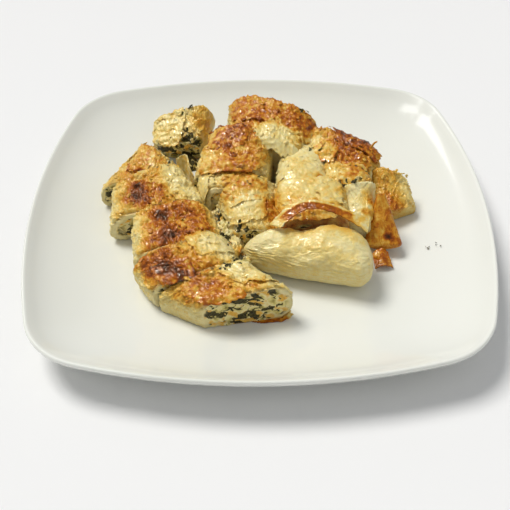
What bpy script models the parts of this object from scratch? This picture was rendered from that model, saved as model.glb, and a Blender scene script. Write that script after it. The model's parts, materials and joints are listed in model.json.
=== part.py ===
# A serving of rolled spinach and cheese filo pie, cut in chunks and heaped on a rounded square plate.
# Blender 4.5: run with blender --background --python part.py. Metres, +Z up.
# The origin is on the table, under the middle of the plate. The viewer stands at -Y.

import math

import bmesh
import bpy
import numpy as np

MM = 0.001
MERGE = 2e-6

# Driving sizes of the plate, in millimetres
PLATE_SIDE = 260.0
SIDE_ARC = 348.0
CORNER_ARC = 39.0
RIM_HEIGHT = 24.0
WELL_FLOOR = 7.0
FOOT_HEIGHT = 3.0
SIDE_STEPS = 9
CORNER_STEPS = 7

# Section of the plate: share of the way from the middle to the rim, then height
PLATE_SECTION = (
    (0.535, FOOT_HEIGHT),
    (0.550, 0.0),
    (0.590, 0.0),
    (0.610, FOOT_HEIGHT),
    (0.800, 7.6),
    (0.950, 15.6),
    (0.993, 20.6),
    (1.000, RIM_HEIGHT - 1.4),
    (0.994, RIM_HEIGHT),
    (0.978, RIM_HEIGHT - 0.9),
    (0.900, 16.4),
    (0.800, 11.4),
    (0.700, 8.2),
    (0.620, WELL_FLOOR),
)
INNER_RIM = 9

# Driving sizes of the pastry, in millimetres
REST_GAP = 0.3
TOUCH_GAP = 0.35
FILO_WALL = 3.4
CUT_BEVEL = 1.2
CRAG_HEIGHT = 1.3
CRAG_WAVE = 15.0
UNDERSIDE_CRAGS = 0.4
TIP_SHARE = 0.17
AROUND = 20
ALONG = 6
LEAF_ROWS = 10
LEAF_COLUMNS = 4
LEAF_THICK = 1.3
SHARP_ANGLE = math.radians(40)


def outline(scale=1.0):
    """Rounded square as four bowed side arcs joined by four corner arcs, at a share of the full size."""
    half = PLATE_SIDE / 2
    behind = SIDE_ARC - half
    # The corner's centre (q, q) lies SIDE_ARC - CORNER_ARC from the side arc's centre (0, -behind).
    reach = SIDE_ARC - CORNER_ARC
    q = (-behind + math.sqrt(2 * reach**2 - behind**2)) / 2
    turn = math.atan2(q, q + behind)
    side = np.linspace(-turn, turn, SIDE_STEPS)
    corner = np.linspace(turn, math.pi / 2 - turn, CORNER_STEPS)[1:-1]
    x = np.concatenate([SIDE_ARC * np.sin(side), q + CORNER_ARC * np.sin(corner)])
    y = np.concatenate([SIDE_ARC * np.cos(side) - behind, q + CORNER_ARC * np.cos(corner)])
    quarters = []
    for quarter in range(4):
        c = math.cos(-quarter * math.pi / 2)
        s = math.sin(-quarter * math.pi / 2)
        quarters.append(np.stack([c * x - s * y, s * x + c * y], axis=1))
    # The quarters run clockwise, so the list is turned round to run anticlockwise.
    return scale * np.concatenate(quarters)[::-1]


def plate_top(x, y):
    """Height of the plate's upper face at x, y, read from its section along the ray through the point."""
    rim = outline()
    angle = np.arctan2(rim[:, 1], rim[:, 0])
    order = np.argsort(angle)
    rim_radius = np.interp(
        np.arctan2(y, x), angle[order], np.hypot(rim[:, 0], rim[:, 1])[order], period=2 * math.pi
    )
    share = np.hypot(x, y) / rim_radius
    upper = PLATE_SECTION[:INNER_RIM - 1:-1]
    return np.interp(share, [p[0] for p in upper], [p[1] for p in upper])


def material(name, colour, roughness, metallic=0.0):
    found = bpy.data.materials.get(name)
    if found:
        return found
    made = bpy.data.materials.new(name)
    made.use_nodes = True
    shader = made.node_tree.nodes["Principled BSDF"]
    shader.inputs["Base Color"].default_value = (*colour, 1.0)
    shader.inputs["Roughness"].default_value = roughness
    shader.inputs["Metallic"].default_value = metallic
    return made


def glazed_ceramic():
    return material("glazed_ceramic", (0.83, 0.84, 0.78), 0.12)


def baked_filo():
    return material("baked_filo", (0.72, 0.44, 0.16), 0.42)


def pale_filo():
    return material("pale_filo", (0.82, 0.74, 0.50), 0.45)


def spinach_filling():
    return material("spinach_filling", (0.22, 0.22, 0.10), 0.6)


def object_from(name, points, faces, finish):
    """A mesh object from points in millimetres, with its faces turned to point outwards."""
    mesh = bpy.data.meshes.new(name)
    mesh.from_pydata((np.asarray(points) * MM).tolist(), [], faces)
    work = bmesh.new()
    work.from_mesh(mesh)
    bmesh.ops.recalc_face_normals(work, faces=work.faces)
    work.to_mesh(mesh)
    work.free()
    mesh.materials.append(finish)
    mesh.shade_smooth()
    mesh.set_sharp_from_angle(angle=SHARP_ANGLE)
    made = bpy.data.objects.new(name, mesh)
    bpy.context.scene.collection.objects.link(made)
    return made


def bridge(first, second, count):
    """Triangles between two rings of count points that start at the vertex numbers first and second."""
    faces = []
    for i in range(count):
        after = (i + 1) % count
        faces += [(first + i, first + after, second + after), (first + i, second + after, second + i)]
    return faces


def fan(ring, middle, count):
    """Triangles between a ring of count points and one point in its middle."""
    return [(ring + i, ring + (i + 1) % count, middle) for i in range(count)]


def make_plate():
    """The plate: scaled copies of its outline, one for each point of its section, bridged and capped."""
    rings = [
        np.column_stack([outline(share), np.full(len(outline()), height)])
        for share, height in PLATE_SECTION
    ]
    count = len(rings[0])
    points = np.concatenate([*rings, [[0, 0, FOOT_HEIGHT], [0, 0, WELL_FLOOR]]])
    faces = []
    for i in range(len(rings) - 1):
        faces += bridge(i * count, (i + 1) * count, count)
    faces += fan(0, len(points) - 2, count)
    faces += fan((len(rings) - 1) * count, len(points) - 1, count)
    return object_from("plate", points, faces, glazed_ceramic())


class Chunk:
    """One cut length of the roll: an arched section lofted from its front cut to its back cut.

    front and back each hold the left and right corner of the chunk's middle plane, in millimetres.
    thick is its height at the two cuts, flare how far its foot spreads to the left and right, and
    ends the share of its length over which each end is rounded off.
    """

    def __init__(
        self, name, front, back, thick, arch=3.0, flare=(0.0, 0.0), ends=(0.0, 0.0), crag=CRAG_HEIGHT,
        finish=baked_filo, seed=1,
    ):
        self.name = name
        self.finish = finish
        self.front = np.array(front, float)
        self.back = np.array(back, float)
        self.thick = thick
        self.arch = arch
        self.flare = flare
        self.ends = ends
        self.crag = crag
        rng = np.random.default_rng(seed)
        self.waves = rng.normal(size=(4, 3)) * (math.pi / CRAG_WAVE)
        self.phases = rng.uniform(0, 2 * math.pi, 4)

    def up(self):
        across = (self.front[1] - self.front[0]) + (self.back[1] - self.back[0])
        along = (self.back[0] - self.front[0]) + (self.back[1] - self.front[1])
        normal = np.cross(across, along)
        return normal / np.linalg.norm(normal)

    def crags(self, points):
        """Slow bumps of the crust: the mean of four sine waves in random directions, from -1 to 1."""
        return np.sin(points @ self.waves.T + self.phases).mean(axis=1)

    def ring(self, station, inset, trim=0.0):
        """The arched section at a station from 0, the front cut, to 1, the back cut.

        It is a superellipse: |across|^arch + |up|^arch = 1. The flare moves its foot out on each side.
        Both inset and trim shrink it, and an inset section is smooth: it bounds the filling.
        """
        left = self.front[0] * (1 - station) + self.back[0] * station
        right = self.front[1] * (1 - station) + self.back[1] * station
        thick = self.thick[0] * (1 - station) + self.thick[1] * station
        half = (right - left) / 2
        width = np.linalg.norm(half)
        angle = np.linspace(0, 2 * math.pi, AROUND, endpoint=False)
        power = 2 / self.arch
        across = np.sign(np.cos(angle)) * np.abs(np.cos(angle)) ** power
        lift = np.sign(np.sin(angle)) * np.abs(np.sin(angle)) ** power
        foot = np.where(across < 0, self.flare[0], self.flare[1]) / width * (1 - lift) / 2
        close = self.closing(station)
        wide = (width - inset - trim) * close / width
        tall = (thick / 2 - inset - trim) * close
        upward = np.outer(lift, self.up())
        points = (left + right) / 2 + np.outer(across * (1 + foot) * wide, half) + tall * upward
        if inset > 0:
            return points
        share = UNDERSIDE_CRAGS + (1 - UNDERSIDE_CRAGS) * np.maximum(lift, 0)
        rise = self.crag * self.crags(points) * share
        return points + (np.outer(across, half / width) + upward) * rise[:, None]

    def closing(self, station):
        """Share of the full section at a station: 1 along the chunk, less where an end is rounded off."""
        share = 1.0
        for reach, away in ((self.ends[0], station), (self.ends[1], 1 - station)):
            if reach and away < reach:
                share *= max(math.sqrt(max(1 - (1 - away / reach) ** 2, 0)), TIP_SHARE)
        return share

    def stations(self, reach):
        """Stations of the rings, denser by the cuts, with the end ones moved out by reach millimetres."""
        length = np.linalg.norm((self.back - self.front).mean(axis=0))
        bevel = CUT_BEVEL / length
        inner = np.linspace(bevel, 1 - bevel, ALONG) if not any(self.ends) else self.eased()
        return np.concatenate([[-reach / length], inner, [1 + reach / length]])

    def eased(self):
        """Inner stations that crowd towards a rounded end."""
        even = np.linspace(0, 1, ALONG + 4)[1:-1]
        return (1 - np.cos(even * math.pi)) / 2

    def outside(self):
        """Rings of the crust, with the ones at the cuts trimmed so that the cut's edge is eased."""
        stations = self.stations(0.0)
        trims = [CUT_BEVEL / 2, *[0.0] * (len(stations) - 2), CUT_BEVEL / 2]
        return self.rested([self.ring(station, 0.0, trim) for station, trim in zip(stations, trims)], 0.0)

    def inside(self, inset):
        """The two end rings of the hollow, or of the filling in it."""
        return self.rested([self.ring(station, inset) for station in (0.0, 1.0)], inset)

    def clearance(self):
        """Rings a touching gap outside the crust, which other pieces are cut back to."""
        return np.array([self.ring(station, -TOUCH_GAP) for station in self.stations(TOUCH_GAP)])

    def rested(self, rings, inset):
        """The rings, kept above the plate."""
        rings = np.array(rings)
        floor = plate_top(rings[..., 0], rings[..., 1]) + REST_GAP + inset
        rings[..., 2] = np.maximum(rings[..., 2], floor)
        return rings


def capped(rings):
    """Points and faces of a closed solid through the rings, each end closed by a fan round its middle."""
    number, count = rings.shape[:2]
    points = np.concatenate([rings.reshape(-1, 3), [rings[0].mean(axis=0), rings[-1].mean(axis=0)]])
    faces = []
    for i in range(number - 1):
        faces += bridge(i * count, (i + 1) * count, count)
    faces += fan(0, number * count, count)
    faces += fan((number - 1) * count, number * count + 1, count)
    return points, faces


def sleeve(outer, inner):
    """Points and faces of an open tube: outer rings, inner rings, and the wall's end at each cut."""
    many, few = len(outer), len(inner)
    count = outer.shape[1]
    points = np.concatenate([outer.reshape(-1, 3), inner.reshape(-1, 3)])
    faces = []
    for i in range(many - 1):
        faces += bridge(i * count, (i + 1) * count, count)
    start = many * count
    for i in range(few - 1):
        faces += bridge(start + i * count, start + (i + 1) * count, count)
    faces += bridge(0, start, count)
    faces += bridge((many - 1) * count, start + (few - 1) * count, count)
    return points, faces


def as_helper(obj):
    obj.hide_render = True
    obj.display_type = "WIRE"
    return obj


def cut_by(obj, cutter):
    cut = obj.modifiers.new("clear_of_" + cutter.name, "BOOLEAN")
    cut.operation = "DIFFERENCE"
    cut.solver = "EXACT"
    cut.object = cutter


def boxes_meet(a, b):
    return bool((a.min(axis=0) < b.max(axis=0)).all() and (b.min(axis=0) < a.max(axis=0)).all())


def keep_largest(obj):
    """Applies the cuts, then drops the loose scraps that they leave."""
    graph = bpy.context.evaluated_depsgraph_get()
    mesh = bpy.data.meshes.new_from_object(obj.evaluated_get(graph))
    obj.modifiers.clear()
    work = bmesh.new()
    work.from_mesh(mesh)
    bmesh.ops.remove_doubles(work, verts=work.verts, dist=MERGE)
    bmesh.ops.dissolve_degenerate(work, edges=work.edges, dist=MERGE)
    left = set(work.faces)
    groups = []
    while left:
        group = {left.pop()}
        front = list(group)
        while front:
            face = front.pop()
            near = {other for edge in face.edges for other in edge.link_faces if len(edge.link_faces) == 2}
            near -= group
            group |= near
            front += near
        left -= group
        groups.append(group)
    groups.sort(key=lambda faces: sum(face.calc_area() for face in faces))
    scraps = [face for group in groups[:-1] for face in group]
    bmesh.ops.delete(work, geom=scraps, context="FACES")
    work.to_mesh(mesh)
    work.free()
    obj.data = mesh
    mesh.shade_smooth()
    mesh.set_sharp_from_angle(angle=SHARP_ANGLE)


def sheet_solid(grid, thick):
    """Points and faces of a thin wavy leaf: the grid moved half the thickness each way, both split alike."""
    rows, columns = grid.shape[:2]
    along = np.gradient(grid, axis=0)
    across = np.gradient(grid, axis=1)
    normal = np.cross(along, across)
    normal /= np.linalg.norm(normal, axis=2, keepdims=True)
    half = normal * thick / 2
    points = np.concatenate([(grid + half).reshape(-1, 3), (grid - half).reshape(-1, 3)])
    under = rows * columns
    faces = []
    for i in range(rows - 1):
        for j in range(columns - 1):
            a = i * columns + j
            b = a + 1
            c = a + columns
            d = b + columns
            faces += [(a, b, d), (a, d, c)]
            faces += [(under + a, under + d, under + b), (under + a, under + c, under + d)]
    edge = list(range(columns))
    edge += [i * columns + columns - 1 for i in range(1, rows)]
    edge += [(rows - 1) * columns + j for j in range(columns - 2, -1, -1)]
    edge += [i * columns for i in range(rows - 2, 0, -1)]
    for a, b in zip(edge, edge[1:] + edge[:1]):
        faces += [(a, under + a, under + b), (a, under + b, b)]
    return points, faces


def smooth_line(points, count):
    """A curve of count points through the given ones, by Catmull-Rom splines."""
    given = np.array(points, float)
    ends = np.concatenate([[2 * given[0] - given[1]], given, [2 * given[-1] - given[-2]]])
    at = np.linspace(0, len(given) - 1, count)
    i = np.minimum(at.astype(int), len(given) - 2)
    t = (at - i)[:, None]
    before, start, end, after = (ends[i + step] for step in range(4))
    bend = 2 * before - 5 * start + 4 * end - after
    twist = 3 * start - before - 3 * end + after
    return (2 * start + (end - before) * t + bend * t**2 + twist * t**3) / 2


def ruled(first, second):
    """A grid of points on straight lines from one curve to another."""
    a = smooth_line(first, LEAF_ROWS)
    b = smooth_line(second, LEAF_ROWS)
    t = np.linspace(0, 1, LEAF_COLUMNS)[None, :, None]
    return a[:, None] * (1 - t) + b[:, None] * t


# The row of slices on the left, front to back
ROW = (
    Chunk("slice_1", [(-30, -81, 14), (17, -73, 20)], [(-53, -68, 10), (-5, -52, 19)], (26, 28),
          arch=3.2, seed=11),
    Chunk("slice_2", [(-56, -67, 15), (-10, -53, 19)], [(-68, -50, 17), (-22, -31, 21)], (25, 28),
          arch=3.0, flare=(0, 5), seed=12),
    Chunk("slice_3", [(-65, -45, 18), (-20, -40, 19)], [(-69, -11, 19), (-30, -5, 19)], (26, 26),
          arch=3.0, flare=(4, 6), seed=13),
    Chunk("slice_4", [(-82, -14, 17), (-31, 0, 16)], [(-83, 15, 19), (-49, 33, 19)], (24, 27),
          arch=2.9, flare=(4, 4), seed=14),
    Chunk("slice_5", [(-92, 16, 16), (-50, 20, 18)], [(-70, 54, 19), (-47, 28, 19)], (22, 26),
          arch=3.0, flare=(2, 0), seed=15),
)
BACK_PIECE = Chunk("slice_6", [(-65, 66, 12), (-35, 60, 17)], [(-65, 82, 14), (-28, 87, 25)], (18, 27),
                   arch=3.4, seed=16)

# The heap on the right: pieces whose cut side shows, then those that turn only crust to the viewer
HEAP_OPEN = (
    Chunk("chunk_left_low", [(-31, 3, 20), (-8, 0, 21)], [(-36, 20, 19), (2, 18, 22)], (28, 30),
          arch=2.8, seed=22),
    Chunk("chunk_back_right", [(28, 29, 24), (63, 14, 22)], [(31, 57, 25), (73, 30, 21)], (32, 36),
          arch=2.8, seed=26),
    Chunk("chunk_front_left", [(-12, -27, 18), (12, -27, 20)], [(-24, -2, 20), (10, 10, 24)], (20, 34),
          arch=2.7, seed=24),
)
HEAP_WHOLE = (
    Chunk("front_roll", [(62, -62, 19), (60, -29, 24)], [(-11, -43, 17), (-6, -26, 22)], (29, 23),
          arch=2.4, ends=(0.16, 0.3), finish=pale_filo, seed=31),
    Chunk("crust_wedge", [(58, -25, 10), (81, -26, 11)], [(66, -5, 34), (71, -5, 34)], (9, 7),
          arch=3.4, ends=(0.12, 0.0), crag=0.4, seed=32),
    Chunk("pale_wedge", [(48, -18, 18), (62, -20, 16)], [(46, 4, 26), (67, 7, 25)], (24, 28),
          arch=3.2, finish=pale_filo, seed=33),
    Chunk("chunk_left_top", [(-38, 18, 22), (6, 17, 25)], [(-28, 50, 26), (10, 49, 28)], (28, 36),
          arch=3.0, seed=21),
    Chunk("chunk_back", [(-16, 44, 25), (27, 29, 25)], [(-17, 84, 25), (37, 61, 27)], (36, 44),
          arch=2.9, flare=(2, 2), ends=(0.0, 0.1), seed=23),
    Chunk("chunk_middle", [(9, 6, 23), (38, 4, 23)], [(14, 37, 22), (40, 35, 18)], (34, 34),
          arch=3.2, seed=27),
    Chunk("chunk_middle_right", [(36, 2, 22), (62, 3, 20)], [(36, 26, 23), (64, 14, 20)], (32, 36),
          arch=3.2, seed=28),
    Chunk("chunk_front", [(10, -25, 21), (50, -21, 20)], [(8, 4, 23), (50, 2, 21)], (32, 35),
          arch=3.2, seed=29),
    Chunk("chunk_right", [(70, -2, 12), (92, 7, 10)], [(60, 29, 20), (86, 26, 16)], (14, 32),
          arch=2.6, ends=(0.0, 0.2), seed=30),
    Chunk("chunk_back_left", [(-31, 48, 19), (-14, 48, 19)], [(-29, 67, 18), (-14, 67, 19)], (24, 27),
          arch=2.8, ends=(0.0, 0.2), seed=34),
    Chunk("pale_strip", [(-12, -49, 13), (-5, -42, 13)], [(-27, -6, 15), (-20, -4, 15)], (17, 19),
          arch=2.6, crag=0.8, finish=pale_filo, seed=35),
)

# Loose leaves of filo, each between two curved edges: first the higher one, then the lower
ARCHED_LEAF = (
    [(5, -31, 35), (16, -26, 43), (26, -24, 46), (38, -26, 45), (50, -28, 41), (60, -29, 37)],
    [(11, -36, 37), (20, -31, 42), (28, -29, 44), (39, -31, 43), (49, -34, 39), (58, -38, 35)],
)
CURLED_LEAF = (
    [(-50, 44, 22), (-46, 46, 24), (-43, 42, 25), (-42, 36, 24), (-39, 31, 20)],
    [(-49, 40, 10), (-45, 41, 10), (-42, 38, 10), (-41, 33, 10), (-38, 29, 10)],
)
CRISP_LEAF = (
    [(63, -29, 11), (68, -28, 14), (72, -29, 11)],
    [(64, -39, 8.6), (69, -38, 10.5), (74, -38, 8.6)],
)


def make_chunks():
    """Builds every chunk in turn. Each is cut clear of those built before it, so that they press together."""
    order = [*ROW, *HEAP_WHOLE[:3], *HEAP_OPEN, *HEAP_WHOLE[3:], BACK_PIECE]
    cutters = []
    for chunk in order:
        outer = chunk.outside()
        opened = chunk in (*ROW, *HEAP_OPEN, BACK_PIECE)
        if opened:
            shell = object_from(chunk.name, *sleeve(outer, chunk.inside(FILO_WALL)), chunk.finish())
            core = chunk.inside(FILO_WALL + TOUCH_GAP)
            filling = object_from(chunk.name + "_filling", *capped(core), spinach_filling())
            made = [shell, filling]
        else:
            made = [object_from(chunk.name, *capped(outer), chunk.finish())]
        for helper, box in cutters:
            if boxes_meet(box, outer.reshape(-1, 3)):
                for piece in made:
                    cut_by(piece, helper)
        bpy.context.view_layer.update()
        for piece in made:
            keep_largest(piece)
        grown = chunk.clearance()
        helper = as_helper(object_from("clearance_" + chunk.name, *capped(grown), chunk.finish()))
        cutters.append((helper, grown.reshape(-1, 3)))
    return cutters


def make_leaves(cutters):
    """Loose leaves, each cut clear of the chunks that it grows out of or lies against."""
    leaves = (
        ("leaf_arched", ARCHED_LEAF, pale_filo()),
        ("leaf_curled", CURLED_LEAF, pale_filo()),
        ("leaf_crisp", CRISP_LEAF, baked_filo()),
    )
    for name, edges, finish in leaves:
        points, faces = sheet_solid(ruled(*edges), LEAF_THICK)
        leaf = object_from(name, points, faces, finish)
        for helper, box in cutters:
            if boxes_meet(box, points):
                cut_by(leaf, helper)
        bpy.context.view_layer.update()
        keep_largest(leaf)


def main():
    for obj in list(bpy.data.objects):
        bpy.data.objects.remove(obj)
    make_plate()
    cutters = make_chunks()
    make_leaves(cutters)
    for helper, _ in cutters:
        bpy.data.objects.remove(helper)


main()
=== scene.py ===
# %% [markdown]
# # A plated serving of rolled filo pie
#
# The object is a rounded square white plate with a cut-up spinach and cheese filo roll heaped on it. On the
# left lie five slices still in a row, and on the right is a heap of chunks, a closed roll and some loose
# leaves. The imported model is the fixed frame: it says where each piece is. This script gives every piece the
# surface of the real one. All sizes here are in millimetres until a mesh is made.

# %% Load the frame
import json
import math

import bmesh
import bpy
import numpy as np
from mathutils import Matrix, Vector

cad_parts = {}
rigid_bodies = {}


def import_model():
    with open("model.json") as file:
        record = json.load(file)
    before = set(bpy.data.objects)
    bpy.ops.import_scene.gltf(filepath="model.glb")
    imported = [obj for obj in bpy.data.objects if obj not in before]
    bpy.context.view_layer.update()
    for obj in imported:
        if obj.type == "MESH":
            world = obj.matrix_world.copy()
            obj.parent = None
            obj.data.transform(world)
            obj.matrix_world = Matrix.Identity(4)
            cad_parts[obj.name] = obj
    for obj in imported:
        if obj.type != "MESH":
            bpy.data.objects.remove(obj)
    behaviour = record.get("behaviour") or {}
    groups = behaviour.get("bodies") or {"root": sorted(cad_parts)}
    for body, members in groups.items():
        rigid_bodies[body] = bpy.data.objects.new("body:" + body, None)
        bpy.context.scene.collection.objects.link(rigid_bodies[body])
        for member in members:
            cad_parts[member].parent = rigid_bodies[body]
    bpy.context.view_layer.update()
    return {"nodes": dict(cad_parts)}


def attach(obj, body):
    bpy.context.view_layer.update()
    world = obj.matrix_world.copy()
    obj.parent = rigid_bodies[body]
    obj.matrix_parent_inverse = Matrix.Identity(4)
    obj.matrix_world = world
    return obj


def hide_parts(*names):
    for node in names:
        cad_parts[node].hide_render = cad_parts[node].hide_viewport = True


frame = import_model()
MM = 0.001

# %% [markdown]
# ## The camera
#
# The photograph looks down at the plate from the front at about 43 degrees. A camera can be matched to a
# photograph by fitting a known outline: here the rounded square rim, 260 mm across, gave the distance, the
# tilt and the focal length. The focal length in pixels becomes a lens in millimetres through the sensor
# width.

# %% Camera
IMAGE_SIDE = 510
FOCAL_PIXELS = 878.78
SENSOR_MM = 36.0
CAMERA_DISTANCE = 0.506
CAMERA_TILT = math.radians(43.49)
CAMERA_ROLL = math.radians(-0.45)
AIM = Vector((-0.0023, -0.0181, 0.0))

lens = bpy.data.cameras.new("photo_lens")
lens.sensor_width = SENSOR_MM
lens.lens = SENSOR_MM * FOCAL_PIXELS / IMAGE_SIDE
camera = bpy.data.objects.new("photo_camera", lens)
bpy.context.scene.collection.objects.link(camera)
gaze = Vector((0, math.cos(CAMERA_TILT), -math.sin(CAMERA_TILT)))
facing = gaze.to_track_quat("-Z", "Y").to_matrix().to_4x4()
place = Matrix.Translation(AIM - gaze * CAMERA_DISTANCE)
camera.matrix_world = place @ facing @ Matrix.Rotation(CAMERA_ROLL, 4, "Z")
bpy.context.scene.camera = camera
print("lens %.1f mm" % lens.lens)

# %% [markdown]
# ## Floor and light
#
# The plate stands on a bright white table. A sun lamp from behind and to the left makes the shadows that fall
# to the front right. Its width makes them soft, and a second, narrower sun from the same side lights nothing
# but the gloss of the food, so that the oily crust gets small sharp highlights. A pale sky and a weak sun
# from the front right fill the shadows. Two panes, also at the back left, show in gloss alone. They are
# mirrored in the far right corner of the glaze: a mirror direction is the gaze turned about the surface's
# normal, so the corner's slope, which faces the middle, looks back at them.

# %% Floor and light
FLOOR_SIDE = 6.0
FLOOR_WHITE = (0.86, 0.86, 0.86)
SKY_FILL = 0.40
SKY_MIRRORED = 0.16
KEY_WAY = Vector((0.46, -0.32, -0.93))
FILL_WAY = Vector((-0.55, 0.55, -0.63))
WARM = (1.0, 0.985, 0.955)
GOLDEN = (1.0, 0.90, 0.70)
KEY_POWER, KEY_WIDTH = 2.40, 0.42
SPARKLE_POWER, SPARKLE_WIDTH = 4.6, 0.07
FRONT_POWER, FRONT_WIDTH = 0.15, 1.0
PANE_AIM = (0.10, 0.09, 0.02)


def pane(name, place, aim, wide, tall, power):
    """A rectangular area lamp at a place, turned to an aim, that shows in gloss only."""
    light = bpy.data.lights.new(name, "AREA")
    light.shape = "RECTANGLE"
    light.size = wide
    light.size_y = tall
    light.energy = power
    made = bpy.data.objects.new(name, light)
    made.location = place
    made.rotation_euler = (Vector(aim) - Vector(place)).to_track_quat("-Z", "Y").to_euler()
    made.visible_diffuse = False
    bpy.context.scene.collection.objects.link(made)
    return made


def sun(name, way, power, angle, tint=(1, 1, 1)):
    """A sun lamp that shines along a direction. Its angle is how wide it looks, in radians."""
    light = bpy.data.lights.new(name, "SUN")
    light.energy = power
    light.angle = angle
    light.color = tint
    made = bpy.data.objects.new(name, light)
    made.rotation_euler = way.to_track_quat("-Z", "Y").to_euler()
    bpy.context.scene.collection.objects.link(made)
    return made


corner = FLOOR_SIDE / 2
floor_mesh = bpy.data.meshes.new("table_floor")
floor_mesh.from_pydata(
    [(-corner, -corner, 0), (corner, -corner, 0), (corner, corner, 0), (-corner, corner, 0)], [], [(0, 1, 2, 3)]
)
floor = bpy.data.objects.new("table_floor", floor_mesh)
bpy.context.scene.collection.objects.link(floor)
floor_paint = bpy.data.materials.new("table_white")
floor_paint.use_nodes = True
floor_paint.node_tree.nodes["Principled BSDF"].inputs["Base Color"].default_value = (*FLOOR_WHITE, 1)
floor_paint.node_tree.nodes["Principled BSDF"].inputs["Roughness"].default_value = 0.6
floor_mesh.materials.append(floor_paint)

key = sun("key", KEY_WAY, KEY_POWER, KEY_WIDTH, WARM)
key.visible_glossy = False
sparkle = sun("sparkle", KEY_WAY, SPARKLE_POWER, SPARKLE_WIDTH, GOLDEN)
sparkle.visible_diffuse = False
front = sun("front", FILL_WAY, FRONT_POWER, FRONT_WIDTH)
front.visible_glossy = False
pane("pane_left", (-0.42, 0.42, 1.16), PANE_AIM, 0.28, 0.34, 1.1)
pane("pane_right", (-0.50, 0.80, 0.91), PANE_AIM, 0.30, 0.34, 1.3)
food = bpy.data.collections.new("food")
sparkle.light_linking.receiver_collection = food

sky = bpy.data.worlds.new("studio")
sky.use_nodes = True
sky.node_tree.nodes["Background"].inputs["Color"].default_value = (0.97, 0.985, 1.0, 1)
seen = sky.node_tree.nodes.new("ShaderNodeLightPath")
level = sky.node_tree.nodes.new("ShaderNodeMapRange")
level.inputs["To Min"].default_value = SKY_FILL
level.inputs["To Max"].default_value = SKY_MIRRORED
sky.node_tree.links.new(seen.outputs["Is Glossy Ray"], level.inputs["Value"])
sky.node_tree.links.new(level.outputs["Result"], sky.node_tree.nodes["Background"].inputs["Strength"])
bpy.context.scene.world = sky
bpy.context.scene.view_settings.view_transform = "Standard"
bpy.context.scene.view_settings.look = "None"

# %% [markdown]
# ## From an array to a mesh
#
# Every new piece here starts as a grid of points: rows run one way over the surface and columns the other.
# Two helpers turn a grid into a mesh. The first closes the columns into a ring and each end into one pole
# point, which suits a chunk of pie or a plate. The second keeps the grid open, for a leaf of filo. Index
# arrays make all the faces at once, so there is no loop over vertices.

# %% Mesh helpers


def grid_faces(rows, columns, ring):
    """Two triangles for each cell of a grid whose points are numbered row by row."""
    i, j = np.meshgrid(np.arange(rows - 1), np.arange(columns if ring else columns - 1), indexing="ij")
    beside = (j + 1) % columns
    a = i * columns + j
    b = i * columns + beside
    c = (i + 1) * columns + beside
    d = (i + 1) * columns + j
    return np.concatenate([np.stack([a, b, c], -1).reshape(-1, 3), np.stack([a, c, d], -1).reshape(-1, 3)])


def mesh_object(name, points, faces, values=None):
    """A smooth mesh object from points in millimetres, triangles, and named numbers for each point."""
    mesh = bpy.data.meshes.new(name)
    mesh.vertices.add(len(points))
    mesh.vertices.foreach_set("co", (np.asarray(points, np.float32) * MM).ravel())
    mesh.loops.add(faces.size)
    mesh.loops.foreach_set("vertex_index", faces.ravel().astype(np.int32))
    mesh.polygons.add(len(faces))
    mesh.polygons.foreach_set("loop_start", np.arange(0, faces.size, 3, dtype=np.int32))
    mesh.update(calc_edges=True)
    mesh.validate()
    for key_name, numbers in (values or {}).items():
        store = mesh.attributes.new(key_name, "FLOAT", "POINT")
        store.data.foreach_set("value", np.asarray(numbers, np.float32).ravel())
    mesh.shade_smooth()
    made = bpy.data.objects.new(name, mesh)
    bpy.context.scene.collection.objects.link(made)
    return made


def closed_surface(name, grid, values=None):
    """A closed piece from a grid of rings whose first and last rings are single points."""
    rows, columns = grid.shape[:2]
    inner = grid[1:-1].reshape(-1, 3)
    points = np.concatenate([inner, grid[:1, 0], grid[-1:, 0]])
    faces = grid_faces(rows - 2, columns, True)
    ring = np.arange(columns)
    beside = (ring + 1) % columns
    first = np.stack([np.full(columns, len(inner)), beside, ring], -1)
    far = (rows - 3) * columns
    last = np.stack([np.full(columns, len(inner) + 1), far + ring, far + beside], -1)
    faces = np.concatenate([faces, first, last])
    closed = {}
    for key_name, numbers in (values or {}).items():
        closed[key_name] = np.concatenate([numbers[1:-1].ravel(), numbers[:1, 0], numbers[-1:, 0]])
    made = mesh_object(name, points, faces, closed)
    if signed_volume(points, faces) < 0:
        made.data.flip_normals()
    return made


def signed_volume(points, faces):
    """The volume inside the triangles, which is negative where they face inwards."""
    a, b, c = (points[faces[:, k]] for k in range(3))
    return float(np.einsum("ij,ij->i", a, np.cross(b, c)).sum() / 6)


def grid_normals(grid):
    """Unit normals of a ring grid: the cross product of its slopes along and around."""
    around = np.roll(grid, -1, axis=1) - np.roll(grid, 1, axis=1)
    along = np.gradient(grid, axis=0)
    normal = np.cross(around, along)
    length = np.linalg.norm(normal, axis=2, keepdims=True)
    return normal / np.maximum(length, 1e-9)


print("a grid of 3 by 4 points makes", len(grid_faces(3, 4, False)), "triangles")

# %% [markdown]
# ## Noise as an array
#
# Pastry is irregular at every size, so the shapes need noise. Blender has noise for one point at a time, but
# a fine surface has tens of thousands. Gradient noise is short to write for whole arrays: each corner of a
# unit cell gets a random slope from a hash of its whole-number place, and the eight slopes are blended.

# %% Noise


def corner_slopes(cell, seed):
    """A random direction for each whole-number place, from an integer hash."""
    with np.errstate(over="ignore"):
        mixed = cell[..., 0] * np.uint32(374761393) + cell[..., 1] * np.uint32(668265263)
        mixed = mixed + cell[..., 2] * np.uint32(2246822519) + np.uint32(seed * 3266489917 % 2**32)
        mixed = (mixed ^ (mixed >> np.uint32(13))) * np.uint32(1274126177)
        mixed = mixed ^ (mixed >> np.uint32(16))
    parts = [(mixed >> np.uint32(shift)) & np.uint32(1023) for shift in (0, 10, 20)]
    return np.stack(parts, -1).astype(np.float32) / 511.5 - 1


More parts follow.
